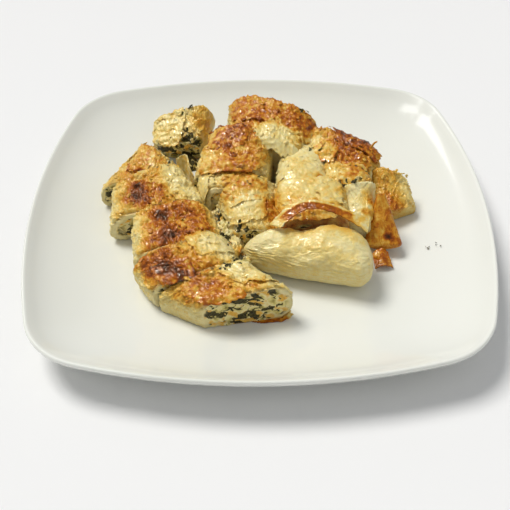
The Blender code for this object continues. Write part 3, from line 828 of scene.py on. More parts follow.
FINISHES = {
    "slice_1": Finish(0.40, spots=[
        (-42, -70, 24, 3, 0.34), (-26, -71, 28, 3, 0.68), (-20, -71, 28, 2, 0.60), (-31, -66, 27, 3, 0.55),
        (-24, -79, 27, 2, 0.58), (-10, -60, 30, 6, 0.05), (-2, -56, 26, 6, 0.05), (3, -62, 26, 4, 0.07),
        (6, -72, 30, 4, 0.08), (-4, -66, 30, 3, 0.12), (12, -66, 26, 5, 0.06),
    ]),
    "slice_2": Finish(0.42, spots=[
        (-65, -52, 24, 2, 0.45), (-57, -58, 26, 3, 0.52), (-57, -53, 29, 3, 0.66), (-50, -50, 31, 3, 0.68),
        (-45, -60, 28, 3, 1.0), (-50, -59, 29, 3, 0.92), (-39, -61, 28, 3, 0.95), (-33, -61, 28, 2, 0.60),
        (-30, -52, 31, 3, 0.38), (-53, -67, 25, 2, 0.38), (-28, -43, 32, 4, 0.06), (-20, -47, 31, 5, 0.05),
        (-15, -48, 27, 4, 0.05), (-37, -41, 33, 2, 0.25), (-22, -38, 31, 4, 0.06),
    ]),
    "slice_3": Finish(0.42, 1.5, spots=[
        (-53, -19, 31, 4, 0.96), (-46, -31, 32, 4, 0.94), (-38, -17, 32, 4, 0.60), (-36, -23, 31, 3, 0.68),
        (-56, -39, 31, 3, 0.62), (-48, -37, 31, 3, 0.86), (-62, -22, 29, 2, 0.30), (-67, -21, 26, 3, 0.05),
        (-28, -30, 29, 3, 0.42), (-42, -27, 31, 3, 0.33), (-24, -19, 22, 3, 0.06), (-66, -34, 27, 3, 0.08),
    ]),
    "slice_4": Finish(0.34, 1.5, folded=True, spots=[
        (-69, 6, 31, 4, 0.80), (-68, -2, 29, 4, 0.90), (-56, 6, 30, 3, 0.60), (-55, -1, 29, 3, 0.58),
        (-64, 13, 31, 2, 0.35), (-47, 13, 29, 6, 0.06), (-39, 6, 27, 5, 0.05), (-77, 3, 30, 2, 0.25),
        (-73, -11, 27, 3, 0.20), (-62, 23, 32, 3, 0.38), (-50, 22, 29, 5, 0.07), (-35, 2, 25, 4, 0.05),
    ], swells=[(-46, 14, 29, 6, 1.5)]),
    "slice_5": Finish(0.26, spots=[
        (-71, 30, 30, 3, 0.40), (-65, 36, 31, 3, 0.36), (-76, 23, 29, 3, 0.46), (-80, 17, 27, 3, 0.26),
        (-69, 23, 30, 2, 0.58), (-62, 42, 30, 3, 0.45),
    ], soaked=[(-53, 31, 29, 3), (-88, 17, 18, 4)]),
    "slice_6": Finish(0.20, 0.9, side=0.14, spots=[
        (-37, 76, 31, 5, 0.36), (-33, 74, 27, 4, 0.33), (-49, 73, 29, 5, 0.10), (-58, 70, 25, 4, 0.12),
        (-44, 81, 33, 3, 0.14), (-30, 80, 30, 3, 0.24),
    ], soaked=[(-44, 63, 25, 5), (-52, 64, 23, 4), (-38, 61, 22, 4), (-50, 68, 27, 2.5), (-60, 67, 20, 4)]),
    "chunk_left_top": Finish(0.38, spots=[
        (-10, 43, 44, 5, 0.66), (-17, 41, 43, 3, 0.58), (-19, 31, 40, 2, 0.74), (-14, 24, 39, 2, 0.72),
        (-6, 23, 38, 4, 0.62), (-6, 31, 40, 3, 0.36), (3, 26, 37, 4, 0.30), (-27, 23, 37, 4, 0.22),
        (-6, 17, 37, 3, 0.44), (6, 20, 28, 4, 0.08), (5, 40, 42, 4, 0.30), (-16, 22, 38, 3, 0.70),
        (-32, 24, 30, 5, 0.12),
    ], soaked=[(-36, 19, 22, 4)]),
    "chunk_left_low": Finish(0.36, 0.8, folded=True, spots=[
        (-12, 15, 35, 5, 0.42), (-17, 4, 34, 3, 0.44), (-28, 8, 33, 5, 0.06), (-20, 2, 22, 6, 0.10),
    ], soaked=[(-33, 12, 27, 4), (-34, 18, 26, 5)]),
    "chunk_back": Finish(0.46, 1.5, spots=[
        (1, 41, 44, 4, 0.10), (-10, 67, 43, 4, 0.52), (-6, 73, 45, 3, 0.38), (3, 60, 46, 4, 0.58),
        (13, 62, 46, 4, 0.38), (16, 51, 45, 4, 0.60), (13, 33, 38, 3, 0.34), (24, 50, 44, 4, 0.66),
        (32, 53, 39, 3, 0.66), (8, 44, 44, 5, 0.07), (15, 40, 43, 4, 0.05), (-2, 54, 45, 4, 0.60),
        (12, 34, 40, 5, 0.05),
    ], soaked=[(26, 60, 45, 2.5), (15, 35, 38, 3.5)]),
    "chunk_back_left": Finish(0.66, spots=[(-22, 56, 30, 5, 0.78)]),
    "chunk_back_right": Finish(0.50, cut=0.2, spots=[
        (42, 45, 41, 3, 0.42), (37, 41, 39, 3, 0.12), (32, 40, 35, 5, 0.06), (52, 44, 41, 3, 0.80),
        (61, 36, 39, 3, 0.90), (48, 32, 39, 3, 0.62), (60, 28, 38, 3, 0.48), (67, 28, 35, 3, 0.42),
    ]),
    "chunk_middle": Finish(0.05, 0.9, soaked=[(33, 32, 36, 2.5)], spots=[
        (21, 13, 39, 4, 0.30), (29, 30, 37, 5, 0.04), (34, 6, 37, 1.5, 0.64), (14, 7, 36, 5, 0.08),
    ]),
    "chunk_middle_right": Finish(0.24, 0.9, soaked=[(59, 10, 37, 3.5), (63, 8, 34, 3), (50, 3, 36, 2)], spots=[
        (41, 22, 37, 3, 0.30), (50, 18, 38, 3, 0.54), (55, 11, 38, 3, 0.58), (44, 10, 37, 4, 0.12),
        (52, 6, 38, 2, 0.50),
    ]),
    "chunk_front": Finish(0.16, 0.8, side=0.40, cut=0.44, spots=[
        (24, -3, 39, 5, 0.20), (39, -9, 38, 4, 0.24), (18, -11, 37, 3, 0.42), (19, -24, 28, 4, 0.60),
        (29, -24, 30, 5, 0.52), (40, -22, 29, 4, 0.46), (16, 0, 38, 4, 0.08),
    ]),
    "chunk_front_left": Finish(0.22, 1.0, spots=[
        (-9, -2, 37, 3, 0.48), (-2, -1, 37, 3, 0.40), (-17, -5, 34, 3, 0.34), (5, -13, 32, 3, 0.48),
        (8, -18, 29, 4, 0.52), (-8, -13, 34, 5, 0.03), (-10, -21, 30, 4, 0.14), (-4, -25, 30, 3, 0.14),
        (9, -10, 33, 3, 0.55), (-8, -27, 22, 3, 0.48),
    ], soaked=[(-12, -24, 27, 3.5), (-14, -14, 24, 4), (-4, -28, 24, 4)]),
    "chunk_right": Finish(0.34, 0.8, side=0.2, cut=0.30, spots=[
        (76, 18, 29, 3, 0.38), (79, 12, 24, 3, 0.34), (77, 4, 21, 3, 0.58), (81, 2, 19, 3, 0.52),
        (87, 16, 24, 5, 0.12), (90, 8, 19, 4, 0.12), (72, 20, 31, 3, 0.30),
    ]),
    "crust_wedge": Finish(0.44, 0.3, side=0.4, cut=0.4, spots=[
        (72, -24, 19, 1.6, 1.0), (63, -22, 22, 5, 0.46),
    ]),
    "pale_wedge": Finish(0.05, 0.4, spots=[
        (61, -5, 34, 3, 0.26), (63, -9, 32, 2, 0.48), (60, -17, 31, 2, 0.42), (65, -14, 27, 4, 0.46),
    ]),
    "pale_strip": Finish(0.06, 1.5, spots=[(-9, -38, 22, 3, 0.5)]),
    "front_roll": Finish(0.05, 0.34, side=0.03, spots=[
        (46, -34, 37, 5, 0.36), (37, -33, 38, 4, 0.40), (27, -33, 37, 4, 0.38), (17, -34, 34, 4, 0.34),
        (54, -36, 36, 3, 0.24), (14, -45, 33, 6, 0.14), (28, -48, 35, 7, 0.13), (40, -55, 31, 7, 0.12),
        (-4, -44, 24, 1.5, 0.55), (10, -52, 24, 5, 0.12), (0, -38, 29, 5, 0.0),
    ], swells=[
        (38, -35, 38, 11, 3.0), (10, -36, 33, 8, 1.2), (52, -52, 33, 8, -1.0), (24, -50, 30, 7, -0.8),
        (-4, -46, 23, 4, -1.6),
    ]),
}


def bake_of(points, chunk, lift, blister, fine_ridges_light_and_shade):
    """The bake at each point, from 0, raw cream, to 1, nearly black."""
    look = FINISHES[chunk.name]
    seed = chunk.seed
    top = smooth(0.30, 0.92, lift + 0.16 * noise(points, 8.0, seed + 33))
    value = look.side + (look.bake - look.side) * top
    value = value + top * (0.20 * noise(points, 7.0, seed + 30) + 0.24 * (blister - 0.20))
    edge = 1 + 0.5 * noise(points, 3.5, seed + 32)
    for x, y, z, size, target in look.spots:
        far = np.linalg.norm(points - np.array([x, y, z]), axis=2) / (1.5 * size) * edge
        value = value + 0.96 * np.exp(-(far**2)) * (target - value)
    brown = smooth(0.15, 0.5, value)
    # On browned parts, a lower bake on the tops of the fine ridges and a higher one in the creases: painted
    # highlight and painted shade.
    value = value + brown * (0.15 * noise(points, 2.8, seed + 31) - 0.20 * (fine_ridges_light_and_shade - 0.42))
    return np.clip(value, 0, 1)


print("finishes:", len(FINISHES))

# %% [markdown]
# ## Making the chunks
#
# Each chunk is now one pass: the formula's grid, fitted to its solid, with the relief along its normals. The
# relief fades where a neighbour presses, and nothing sinks into the plate. The cuts carry the filling's
# pattern as far as an uneven edge, so that the wall of a cut is as thin as a few baked leaves.

# %% Chunks
SHUT = ("front_roll", "crust_wedge", "pale_wedge", "pale_strip")
OPEN_EDGE = 0.91
SHUT_EDGE = 0.50
GROOVE_DEPTH = 1.5
GROOVE_WIDTH = 2.4
LEAVES_IN_CUT = 17
PRESSED_FLAT = 0.85


def above_plate(points, gap=REST_GAP):
    """The points, lifted where they would be in the plate."""
    lifted = points.copy()
    lifted[..., 2] = np.maximum(points[..., 2], plate_top(points[..., 0], points[..., 1]) + gap)
    return lifted


def outward_normals(grid):
    """Normals that point away from the middle of the piece, with the two ends evened out."""
    normal = grid_normals(grid)
    if np.einsum("ijk,ijk->", normal, grid - grid.mean(axis=(0, 1))) < 0:
        normal = -normal
    normal[:2] = normal[2:3].mean(axis=1, keepdims=True)
    normal[-2:] = normal[-3:-2].mean(axis=1, keepdims=True)
    return normal


def make_chunk(chunk):
    """One chunk: formula, fit, relief and the numbers for its finish. Returns the piece and its bare grid."""
    opened = chunk in OPENED
    look = FINISHES[chunk.name]
    grid, share, away, lift, closing = chunk_grid(chunk, opened, look.folded)
    grid, drawn = fitted(above_plate(grid), chunk.name)
    height, blister, fine_ridges_light_and_shade = crust_relief(grid, chunk, look.crumple)
    rim = away > 0
    side = 1 - smooth(0.25, 0.8, np.abs(lift))
    leaf_edge = layered(grid, chunk, lift)
    steps = side * rim * smooth(0, 3, away) * 0.5 * (leaf_edge - 0.5)
    height = height * (0.4 + 0.6 * smooth(-0.2, 0.6, lift)) + steps
    dark, tone, rise = filling_pattern(grid, chunk.seed)
    edge = (OPEN_EDGE if opened else SHUT_EDGE) + 0.08 * noise(grid, 5.0, chunk.seed + 35)
    fill = np.where(rim, 0.0, 1 - smooth(edge - 0.02, edge + 0.02, share))
    if not opened:
        fill = fill * smooth(-0.1, 0.15, noise(grid, 7.0, chunk.seed + 36))
    fill = fill * (1 - closing)
    if look.folded:
        fill[:CAP_ROWS] = 0
    for x, y, z, size in look.soaked:
        far = np.linalg.norm(grid - np.array([x, y, z]), axis=2) / size
        torn = 1 - far + 0.5 * noise(grid, 3.0, chunk.seed + 41)
        fill = np.maximum(fill, smooth(0.10, 0.22, torn))
        tone = tone - 0.35 * smooth(0.0, 0.3, torn)
        dark = np.maximum(dark, smooth(0.12, 0.22, noise(grid, 1.5, chunk.seed + 42)) * smooth(0.0, 0.3, torn))
    if chunk.name in SHUT:
        fill = fill * 0
    if chunk.name == "pale_strip":
        fill = smooth(-0.25, 0.0, noise(grid, 5.0, chunk.seed + 39))
        height = height + 1.6 * rise
    wound = (share + 0.05 * noise(grid, 6.0, chunk.seed + 37)) * LEAVES_IN_CUT
    rings = np.abs(wound % 1 - 0.5) * 2 * (1 - closing)
    cut_height = fill * rise + (1 - fill) * 0.6 * (rings - 0.5)
    if look.folded:
        cut_height[:CAP_ROWS] = 0.8 * ridges(grid[:CAP_ROWS], 5.0, chunk.seed + 40) ** 2
        rings = rings.copy()
        rings[:CAP_ROWS] = 0
    for x, y, z, size, rise_there in look.swells:
        far = np.linalg.norm(grid - np.array([x, y, z]), axis=2) / size
        height = height + rise_there * np.exp(-(far**2))
    groove = GROOVE_DEPTH * smooth(GROOVE_WIDTH, 0, away) * smooth(0.1, 0.6, lift)
    height = height - (groove if chunk in OPENED else 0)
    height = height + (rise - 0.6) * fill * rim
    height = np.where(rim, height, cut_height * smooth(1.0, 0.97, share) + height * smooth(0.97, 1.0, share))
    height = height * (1 - PRESSED_FLAT * drawn)
    if chunk.name == "crust_wedge":
        height = height * 0.3
    normal = outward_normals(grid)
    points = above_plate(grid + normal * height[..., None])
    bake = bake_of(grid, chunk, lift, blister, fine_ridges_light_and_shade)
    floor_crust = smooth(-0.75, -0.95, lift) * smooth(0.9, 0.97, share) * 0.5 * (1 - closing)
    if chunk.name in SHUT:
        floor_crust = floor_crust * 0
    cut_bake = look.cut * (1 + 0.5 * noise(grid, 4.0, chunk.seed + 38))
    shown = np.maximum(smooth(0.90, 1.0, share), closing)
    cut = np.where(rim, 1 - smooth(0.0, 1.2, away), 1.0) * (1 - closing)
    bake = np.maximum(np.where(rim, bake, bake * shown + cut_bake * (1 - shown)), floor_crust)
    # The leaf-line number carries painted shade along the edges of the stacked leaves and the rings of a cut.
    values = {
        "bake": bake, "cut": cut, "layer": np.where(rim, leaf_edge * side, rings),
        "fill": fill, "dark": dark, "tone": tone,
    }
    made = closed_surface(chunk.name + "_crust", points, values)
    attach(made, "root")
    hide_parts(chunk.name)
    body = slice(CAP_ROWS, CAP_ROWS + ALONG)
    return made, (grid[body], normal[body], bake[body])


crusts = {}
bodies = {}
for chunk in CHUNKS:
    crusts[chunk.name], bodies[chunk.name] = make_chunk(chunk)
by_name = {chunk.name: chunk for chunk in CHUNKS}
print("crust triangles:", sum(len(piece.data.polygons) for piece in crusts.values()))

# %% [markdown]
# ## The filling
#
# The filling's body follows the same formula, set in by the wall. Its cut face is lumpy: rounded crumbs of
# cheese stand out, and between them lie dark bands of leaf, a little lower because they shrink as they bake.

# %% Filling shape
FILLING_AROUND = 120
FILLING_ALONG = 16
FILLING_CAP = 34


def make_filling(chunk):
    """The filling of one chunk: the inset section between two lumpy cut faces."""
    node = chunk.name + "_filling"
    angle = chunk.even_angles(FILLING_AROUND)
    out = np.linspace(0, 1, FILLING_CAP + 1)[:-1]
    body = chunk.surface(np.linspace(0, 1, FILLING_ALONG), angle, inset=FILO_WALL + TOUCH_GAP)
    caps = []
    for ring in (body[:1], body[-1:]):
        middle = ring.mean(axis=1, keepdims=True)
        caps.append(middle + out[:, None, None] * (ring - middle))
    grid = np.concatenate([caps[0], body, caps[1][::-1]])
    grid, drawn = fitted(above_plate(grid, REST_GAP + FILO_WALL), node)
    dark, tone, rise = filling_pattern(grid, chunk.seed)
    way = np.concatenate([-np.ones(FILLING_CAP), np.zeros(FILLING_ALONG), np.ones(FILLING_CAP)])[:, None, None]
    points = grid + chunk.axis * way * ((rise + 0.3) * (1 - drawn))[..., None]
    made = closed_surface(node + "_cut", points, {"dark": dark, "tone": tone})
    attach(made, "root")
    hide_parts(node)
    return made


fillings = {chunk.name: make_filling(chunk) for chunk in OPENED}
print("filling triangles:", sum(len(piece.data.polygons) for piece in fillings.values()))

# %% [markdown]
# ## Fallen filling
#
# Below the cut of the slice at the back left lies a little filling that has dropped out. It could be
# scattered crumbs, but it is damp and sticks together, so it is one low dome with a lumpy top. Its height
# falls off as one minus the square of the distance from its middle, and it sits on the plate's own height.

# %% Fallen filling
HEAP_MIDDLE = (-44.0, 56.5)
HEAP_SIZE = (8.5, 6.0)
HEAP_HEIGHT = 8.0
HEAP_SEED = 271


def fallen_filling(name, middle, size, height, seed, rows=46, columns=110):
    """A dome over an uneven ellipse, closed by a flat underside: height times one minus the radius squared."""
    turn = np.linspace(0, 2 * math.pi, columns, endpoint=False)[None, :]
    out = np.concatenate([np.linspace(0, 1, rows), np.linspace(1, 0, 8)[1:]])[:, None]
    way = np.stack([np.cos(turn), np.sin(turn), np.zeros_like(turn)], -1)
    reach = out * (1 + 0.35 * noise(way * 10, 7.0, seed))
    x = middle[0] + size[0] * reach * np.cos(turn)
    y = middle[1] + size[1] * reach * np.sin(turn)
    base = np.stack([x, y, plate_top(x, y) + REST_GAP], -1)
    dark, tone, rise = filling_pattern(base, seed)
    over = (np.arange(len(out)) < rows)[:, None] * (1 - out**2)
    lumps = 2.2 * rise + 2.6 * noise(base, 3.4, seed + 1)
    base[..., 2] += np.maximum(over * height + smooth(0, 0.5, over) * lumps, 0)
    dark = np.maximum(dark, smooth(0.02, 0.14, noise(base, 1.7, seed + 2)))
    made = closed_surface(name, base, {"dark": dark, "tone": tone - 0.3})
    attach(made, "root")
    return made


heap = fallen_filling("fallen_filling", HEAP_MIDDLE, HEAP_SIZE, HEAP_HEIGHT, HEAP_SEED)
print("fallen filling triangles:", len(heap.data.polygons))

# %% [markdown]
# ## Loose leaves
#
# Three leaves stand free of the chunks: an arched one over the closed roll, a curled one in the gap at the
# left, and a crisp shard by the roll's right end. Each is ruled between two curves, rippled by noise, torn at
# its edges, and given a thickness by a Solidify modifier.

# %% Leaves
LEAF_THICK = 0.7
ARCHED_LEAF = (
    [(5, -31, 35), (16, -26, 43), (26, -24, 46), (38, -26, 45), (50, -28, 41), (60, -29, 37)],
    [(11, -36, 37), (20, -31, 42), (28, -29, 44), (39, -31, 43), (49, -34, 39), (58, -38, 35)],
)
CURLED_LEAF = (
    [(-50, 44, 22), (-46, 46, 24), (-43, 42, 25), (-42, 36, 24), (-39, 31, 20)],
    [(-49, 40, 10), (-45, 41, 10), (-42, 38, 10), (-41, 33, 10), (-38, 29, 10)],
)
CRISP_LEAF = (
    [(63, -29, 11), (68, -28, 14), (72, -29, 11)],
    [(64, -39, 8.6), (69, -38, 10.5), (74, -38, 8.6)],
)


def open_surface(name, grid, values, thick):
    """A leaf from an open grid of points, thickened evenly to both sides."""
    rows, columns = grid.shape[:2]
    made = mesh_object(name, grid.reshape(-1, 3), grid_faces(rows, columns, False), values)
    solid = made.modifiers.new("thickness", "SOLIDIFY")
    solid.thickness = thick * MM
    solid.offset = 0.0
    return made


def plain_values(bake):
    """The numbers that a filo finish reads, for a leaf that has no cut and no filling."""
    nothing = np.zeros_like(bake)
    return {"bake": bake, "cut": nothing, "layer": nothing, "fill": nothing, "dark": nothing, "tone": nothing}


def torn_leaf(name, edges, seed, bake, heart, rows=90, columns=36, ragged=0.10):
    """A ruled leaf: straight lines from one curve to the other, rippled, with torn long edges.

    bake is that of its ends and upper edge, and heart that of its middle.
    """
    first = through(edges[0], rows)[:, None]
    second = through(edges[1], rows)[:, None]
    tear = ragged * np.stack([noise(first[:, 0], 2.4, seed), noise(second[:, 0], 2.4, seed + 1)], -1)
    t = np.linspace(0, 1, columns)[None, :, None]
    t = t * (1 + tear[:, None, :1] + tear[:, None, 1:]) - tear[:, None, :1]
    grid = first * (1 - t) + second * t
    ripple = 0.45 * noise(grid, 4.0, seed + 2) + 0.25 * ridges(grid, 2.0, seed + 3)
    along = np.gradient(grid, axis=0)
    across = np.gradient(grid, axis=1)
    normal = np.cross(along, across)
    normal /= np.linalg.norm(normal, axis=2, keepdims=True)
    grid = grid + normal * ripple[..., None]
    run = np.linspace(0, 1, rows)[:, None]
    middle = smooth(0.02, 0.16, run) * smooth(0.94, 0.66, run) * smooth(0.12, 0.36, t[..., 0])
    value = bake + (heart - bake) * middle
    value = np.clip(value + 0.2 * noise(grid, 5.0, seed + 4) + 0.15 * (ridges(grid, 2.0, seed + 3) - 0.5), 0, 1)
    return open_surface(name, grid, plain_values(value), LEAF_THICK)


leaves = {
    "leaf_arched": torn_leaf("leaf_arched_torn", ARCHED_LEAF, 51, 0.14, 0.62),
    "leaf_curled": torn_leaf("leaf_curled_torn", CURLED_LEAF, 52, 0.12, 0.10),
    "leaf_crisp": torn_leaf("leaf_crisp_torn", CRISP_LEAF, 53, 0.50, 0.55),
}
for node, piece in leaves.items():
    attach(piece, "root")
    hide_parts(node)
print("loose leaves:", len(leaves))

# %% [markdown]
# ## Torn skins
#
# The outermost leaves of the roll tear loose and lie over the crust or past a cut, with ragged, lifted edges.
# Such a skin can be made by reading the bare surface of a chunk again over a patch: a square grid is rounded
# and torn by noise, each of its points is looked up between four points of the chunk, and it is lifted along
# the normal, most of all near its edges. Past a cut it goes straight on and droops a little.

# %% Skins
SKIN_THICK = 0.2
SKIN_POINTS = 48


def looked_up(grid, row, column):
    """Values of a ring grid between its points: the mean of four neighbours, weighted by nearness."""
    i = np.clip(np.floor(row).astype(int), 0, grid.shape[0] - 2)
    j = np.floor(column).astype(int)
    a, b = (row - i)[..., None], (column - j)[..., None]
    j, k = j % grid.shape[1], (j + 1) % grid.shape[1]
    first = grid[i, j] * (1 - b) + grid[i, k] * b
    second = grid[i + 1, j] * (1 - b) + grid[i + 1, k] * b
    return first * (1 - a) + second * a


def torn_square(count, seed, ragged):
    """A grid from -1 to 1 both ways, drawn in to a rounded square whose outline is torn by noise."""
    u, v = np.meshgrid(np.linspace(-1, 1, count), np.linspace(-1, 1, count), indexing="ij")
    square = np.maximum(np.abs(u), np.abs(v))
    rounded = (np.abs(u) ** 4 + np.abs(v) ** 4) ** 0.25
    turn = np.arctan2(v, u)
    ring = np.stack([np.cos(turn), np.sin(turn), np.zeros_like(turn)], -1)
    teeth = noise(ring, 0.55, seed) + 0.6 * noise(ring, 0.2, seed + 1) + 0.4 * noise(ring, 0.08, seed + 2)
    tear = 1 + ragged * teeth
    scale = square / np.maximum(rounded, 1e-6) * (1 + (tear - 1) * square**2)
    return u * scale, v * scale, square


def skin(name, chunk_name, stations, turns, bake, seed, stand=0.4, curl=1.0, ragged=0.18, droop=0.3):
    """A torn leaf over part of a chunk: stations along it and turns around it, 0 at the right, 0.25 on top."""
    chunk = by_name[chunk_name]
    grid, normal, below = bodies[chunk_name]
    u, v, square = torn_square(SKIN_POINTS, seed, ragged)
    station = sum(stations) / 2 + (stations[1] - stations[0]) / 2 * u
    turn = sum(turns) / 2 + (turns[1] - turns[0]) / 2 * v
    held = np.clip(station, 0, 1)
    past = (station - held) * chunk.length
    row = held * (len(grid) - 1)
    points = looked_up(grid, row, turn * grid.shape[1])
    outward = looked_up(normal, row, turn * grid.shape[1])
    outward = outward / np.linalg.norm(outward, axis=2, keepdims=True)
    points = points + chunk.axis * past[..., None]
    points[..., 2] -= droop * np.abs(past) ** 1.3
    wave = 0.6 * ridges(points, 5.0, seed + 3) ** 2 + 0.42 * ridges(stretched(points, chunk), 2.2, seed + 4)
    lifted = curl * square**5 * np.maximum(noise(points, 6.0, seed + 5) + 0.25, 0)
    points = above_plate(points + outward * (stand + wave + lifted)[..., None], 0.5)
    under = looked_up(below[..., None], row, turn * grid.shape[1])[..., 0]
    inner = 0.5 * smooth(1.0, 0.6, square)
    value = under * (1 - inner) + bake * inner + (0.05 + 0.40 * bake) * noise(points, 2.6, seed + 6)
    value = value + 0.25 * bake * smooth(0.86, 1.0, square)
    made = open_surface(name, points, plain_values(np.clip(value, 0, 1)), SKIN_THICK)
    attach(made, "root")
    return made


PALE_SKINS = (
    skin("skin_slice_1_right", "slice_1", (0.22, 1.02), (0.03, 0.20), 0.06, 61, curl=1.1),
    skin("skin_slice_2_right", "slice_2", (0.35, 1.15), (0.03, 0.20), 0.05, 63, curl=1.4),
    skin("skin_slice_4_right", "slice_4", (0.05, 0.95), (0.04, 0.19), 0.05, 67, curl=1.2),
    skin("skin_slice_5_left", "slice_5", (0.15, 1.05), (0.40, 0.52), 0.08, 70, curl=1.3),
    skin("skin_slice_6_top", "slice_6", (-0.10, 0.95), (0.20, 0.42), 0.12, 71, curl=1.6),
    skin("skin_heap_middle", "chunk_middle", (-0.10, 0.80), (0.12, 0.42), 0.07, 73, curl=1.0),
    skin("skin_heap_back_low", "chunk_back", (-0.12, 0.35), (0.10, 0.30), 0.06, 74, curl=1.2, droop=0.7),
    skin("skin_heap_back_right", "chunk_back_right", (-0.14, 0.5), (0.27, 0.42), 0.07, 75, curl=1.2),
    skin("skin_heap_front", "chunk_front", (0.25, 1.08), (0.12, 0.40), 0.12, 76, curl=1.0),
    skin("skin_front_left", "chunk_front_left", (0.15, 0.8), (0.16, 0.42), 0.09, 77, curl=1.0),
    skin("skin_left_low", "chunk_left_low", (-0.1, 1.0), (0.34, 0.52), 0.07, 78, curl=1.2),
)
BROWN_SKINS = (
    skin("skin_slice_1_top", "slice_1", (-0.06, 0.55), (0.23, 0.40), 0.46, 91, curl=0.7),
    skin("skin_slice_1_floor", "slice_1", (-0.12, 0.05), (0.76, 0.93), 0.60, 92, curl=0.2, droop=0.0),
    skin("skin_slice_2_front", "slice_2", (-0.05, 0.55), (0.24, 0.40), 0.62, 93, curl=1.1),
    skin("skin_slice_3_top", "slice_3", (0.30, 0.98), (0.10, 0.24), 0.52, 94, curl=0.8),
    skin("skin_slice_4_top", "slice_4", (0.05, 0.55), (0.22, 0.30), 0.55, 95, curl=0.7),
    skin("skin_slice_5_top", "slice_5", (0.2, 0.85), (0.22, 0.34), 0.42, 96, curl=1.0),
    skin("skin_left_top_fold", "chunk_left_top", (-0.06, 0.45), (0.10, 0.40), 0.38, 97, curl=1.1),
    skin("skin_left_top_red", "chunk_left_top", (0.45, 0.95), (0.20, 0.40), 0.64, 98, curl=0.7),
    skin("skin_heap_back_top", "chunk_back", (0.35, 1.0), (0.22, 0.42), 0.46, 99, curl=1.3),
    skin("skin_heap_back_ridge", "chunk_back", (0.25, 0.9), (0.06, 0.22), 0.60, 100, curl=1.1),
    skin("skin_burnt_ridge", "chunk_back_right", (0.55, 1.06), (0.08, 0.30), 0.74, 101, curl=1.4),
    skin("skin_brown_fold", "chunk_back_right", (-0.08, 0.4), (0.10, 0.26), 0.52, 102, curl=1.2),
    skin("skin_middle_right", "chunk_middle_right", (-0.06, 0.7), (0.10, 0.30), 0.36, 103, curl=1.0),
    skin("skin_front_band", "chunk_front", (-0.10, 0.42), (0.14, 0.42), 0.30, 104, curl=0.6),
    skin("skin_front_left_top", "chunk_front_left", (0.55, 1.04), (0.14, 0.40), 0.42, 105, curl=1.0),
)
print("skins:", len(PALE_SKINS), "pale,", len(BROWN_SKINS), "brown")

# %% [markdown]
# ## Flakes and scraps of leaf
#
# Shards of broken crust lie all over the tops, and small dark scraps of spinach stick where filling came out
# and in the crevices between chunks, where their darkness is partly painted shade.
# Each is a tiny curled grid. There are hundreds, so they are worked out together as one array and made one
# mesh. A scrap settles on the nearest surface, or else on the plate, so that none hangs in the air. One twig
# of browned pastry stands up at the back right: circles that follow a smooth path.

# %% Flakes
FLAKE_ROWS, FLAKE_COLUMNS = 6, 5
FLAKE_THICK = 0.16
FLAKE_COUNT = 420


def scattered(name, places, normals, sizes, narrow, bend, seed, values):
    """Tiny curled leaves at places: a small torn grid each, turned at random about the normal there.

    values holds the numbers that its finish reads, one for each leaf.
    """
    rng = np.random.default_rng(seed)
    count = len(places)
    u, v = np.meshgrid(np.linspace(-1, 1, FLAKE_ROWS), np.linspace(-1, 1, FLAKE_COLUMNS), indexing="ij")
    shape = 1 - 0.5 * np.abs(u) ** 3
    jag = 1 + 0.3 * rng.normal(size=(count, FLAKE_ROWS, FLAKE_COLUMNS)) * (np.abs(v) > 0.9)
    turn = rng.uniform(0, 2 * math.pi, count)
    any_way = np.stack([np.cos(turn), np.sin(turn), np.zeros(count)], -1)
    first = np.cross(normals, any_way)
    first /= np.linalg.norm(first, axis=1, keepdims=True)
    second = np.cross(normals, first)
    half = sizes[:, None, None]
    run = half * u
    wide = half * narrow * v * shape * jag
    tilt = rng.uniform(-0.25, 0.55, count)[:, None, None]
    rise = half * (tilt * (u + 1) + bend * rng.uniform(-1, 1, count)[:, None, None] * u**2)
    rise = rise + 0.10 * half * rng.normal(size=rise.shape)
    points = (
        places[:, None, None] + run[..., None] * first[:, None, None]
        + wide[..., None] * second[:, None, None] + rise[..., None] * normals[:, None, None]
    )
    cell = grid_faces(FLAKE_ROWS, FLAKE_COLUMNS, False)
    per = FLAKE_ROWS * FLAKE_COLUMNS
    faces = (np.arange(count)[:, None, None] * per + cell).reshape(-1, 3)
    spread = {label: np.repeat(numbers, per) for label, numbers in values.items()}
    made = mesh_object(name, above_plate(points.reshape(-1, 3), 0.2), faces, spread)
    solid = made.modifiers.new("thickness", "SOLIDIFY")
    solid.thickness = FLAKE_THICK * MM
    solid.offset = 0.0
    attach(made, "root")
    return made


def flake_places(count, seed):
    """Random places on the upper half of the chunks, the bare surface lifted to the top of its relief.

    In a pinched cell of the grid there is no normal, and such a place takes the upward one.
    """
    rng = np.random.default_rng(seed)
    names = [chunk.name for chunk in CHUNKS if chunk.name not in SHUT]
    area = np.array([by_name[name].width * by_name[name].length for name in names])
    picked = rng.choice(len(names), count, p=area / area.sum())
    places, normals, bakes = [], [], []
    for index, name in enumerate(names):
        grid, normal, bake = bodies[name]
        mine = int((picked == index).sum())
        row = rng.integers(2, len(grid) - 2, mine)
        column = (rng.uniform(0.09, 0.42, mine) * grid.shape[1]).astype(int)
        places.append(grid[row, column] + normal[row, column] * 0.8)
        normals.append(normal[row, column])
        bakes.append(bake[row, column])
    places, normals, bakes = (np.concatenate(parts) for parts in (places, normals, bakes))
    normals[np.linalg.norm(normals, axis=1) < 0.5] = (0.0, 0.0, 1.0)
    return places, normals, bakes


rng = np.random.default_rng(7)
places, normals, bakes = flake_places(FLAKE_COUNT, 8)
flakes = scattered(
    "crust_flakes", places, normals, rng.uniform(0.5, 1.9, len(places)), 0.5, 0.5, 9,
    plain_values(np.clip(bakes * rng.uniform(0.6, 1.3, len(places)), 0.02, 1)),
)
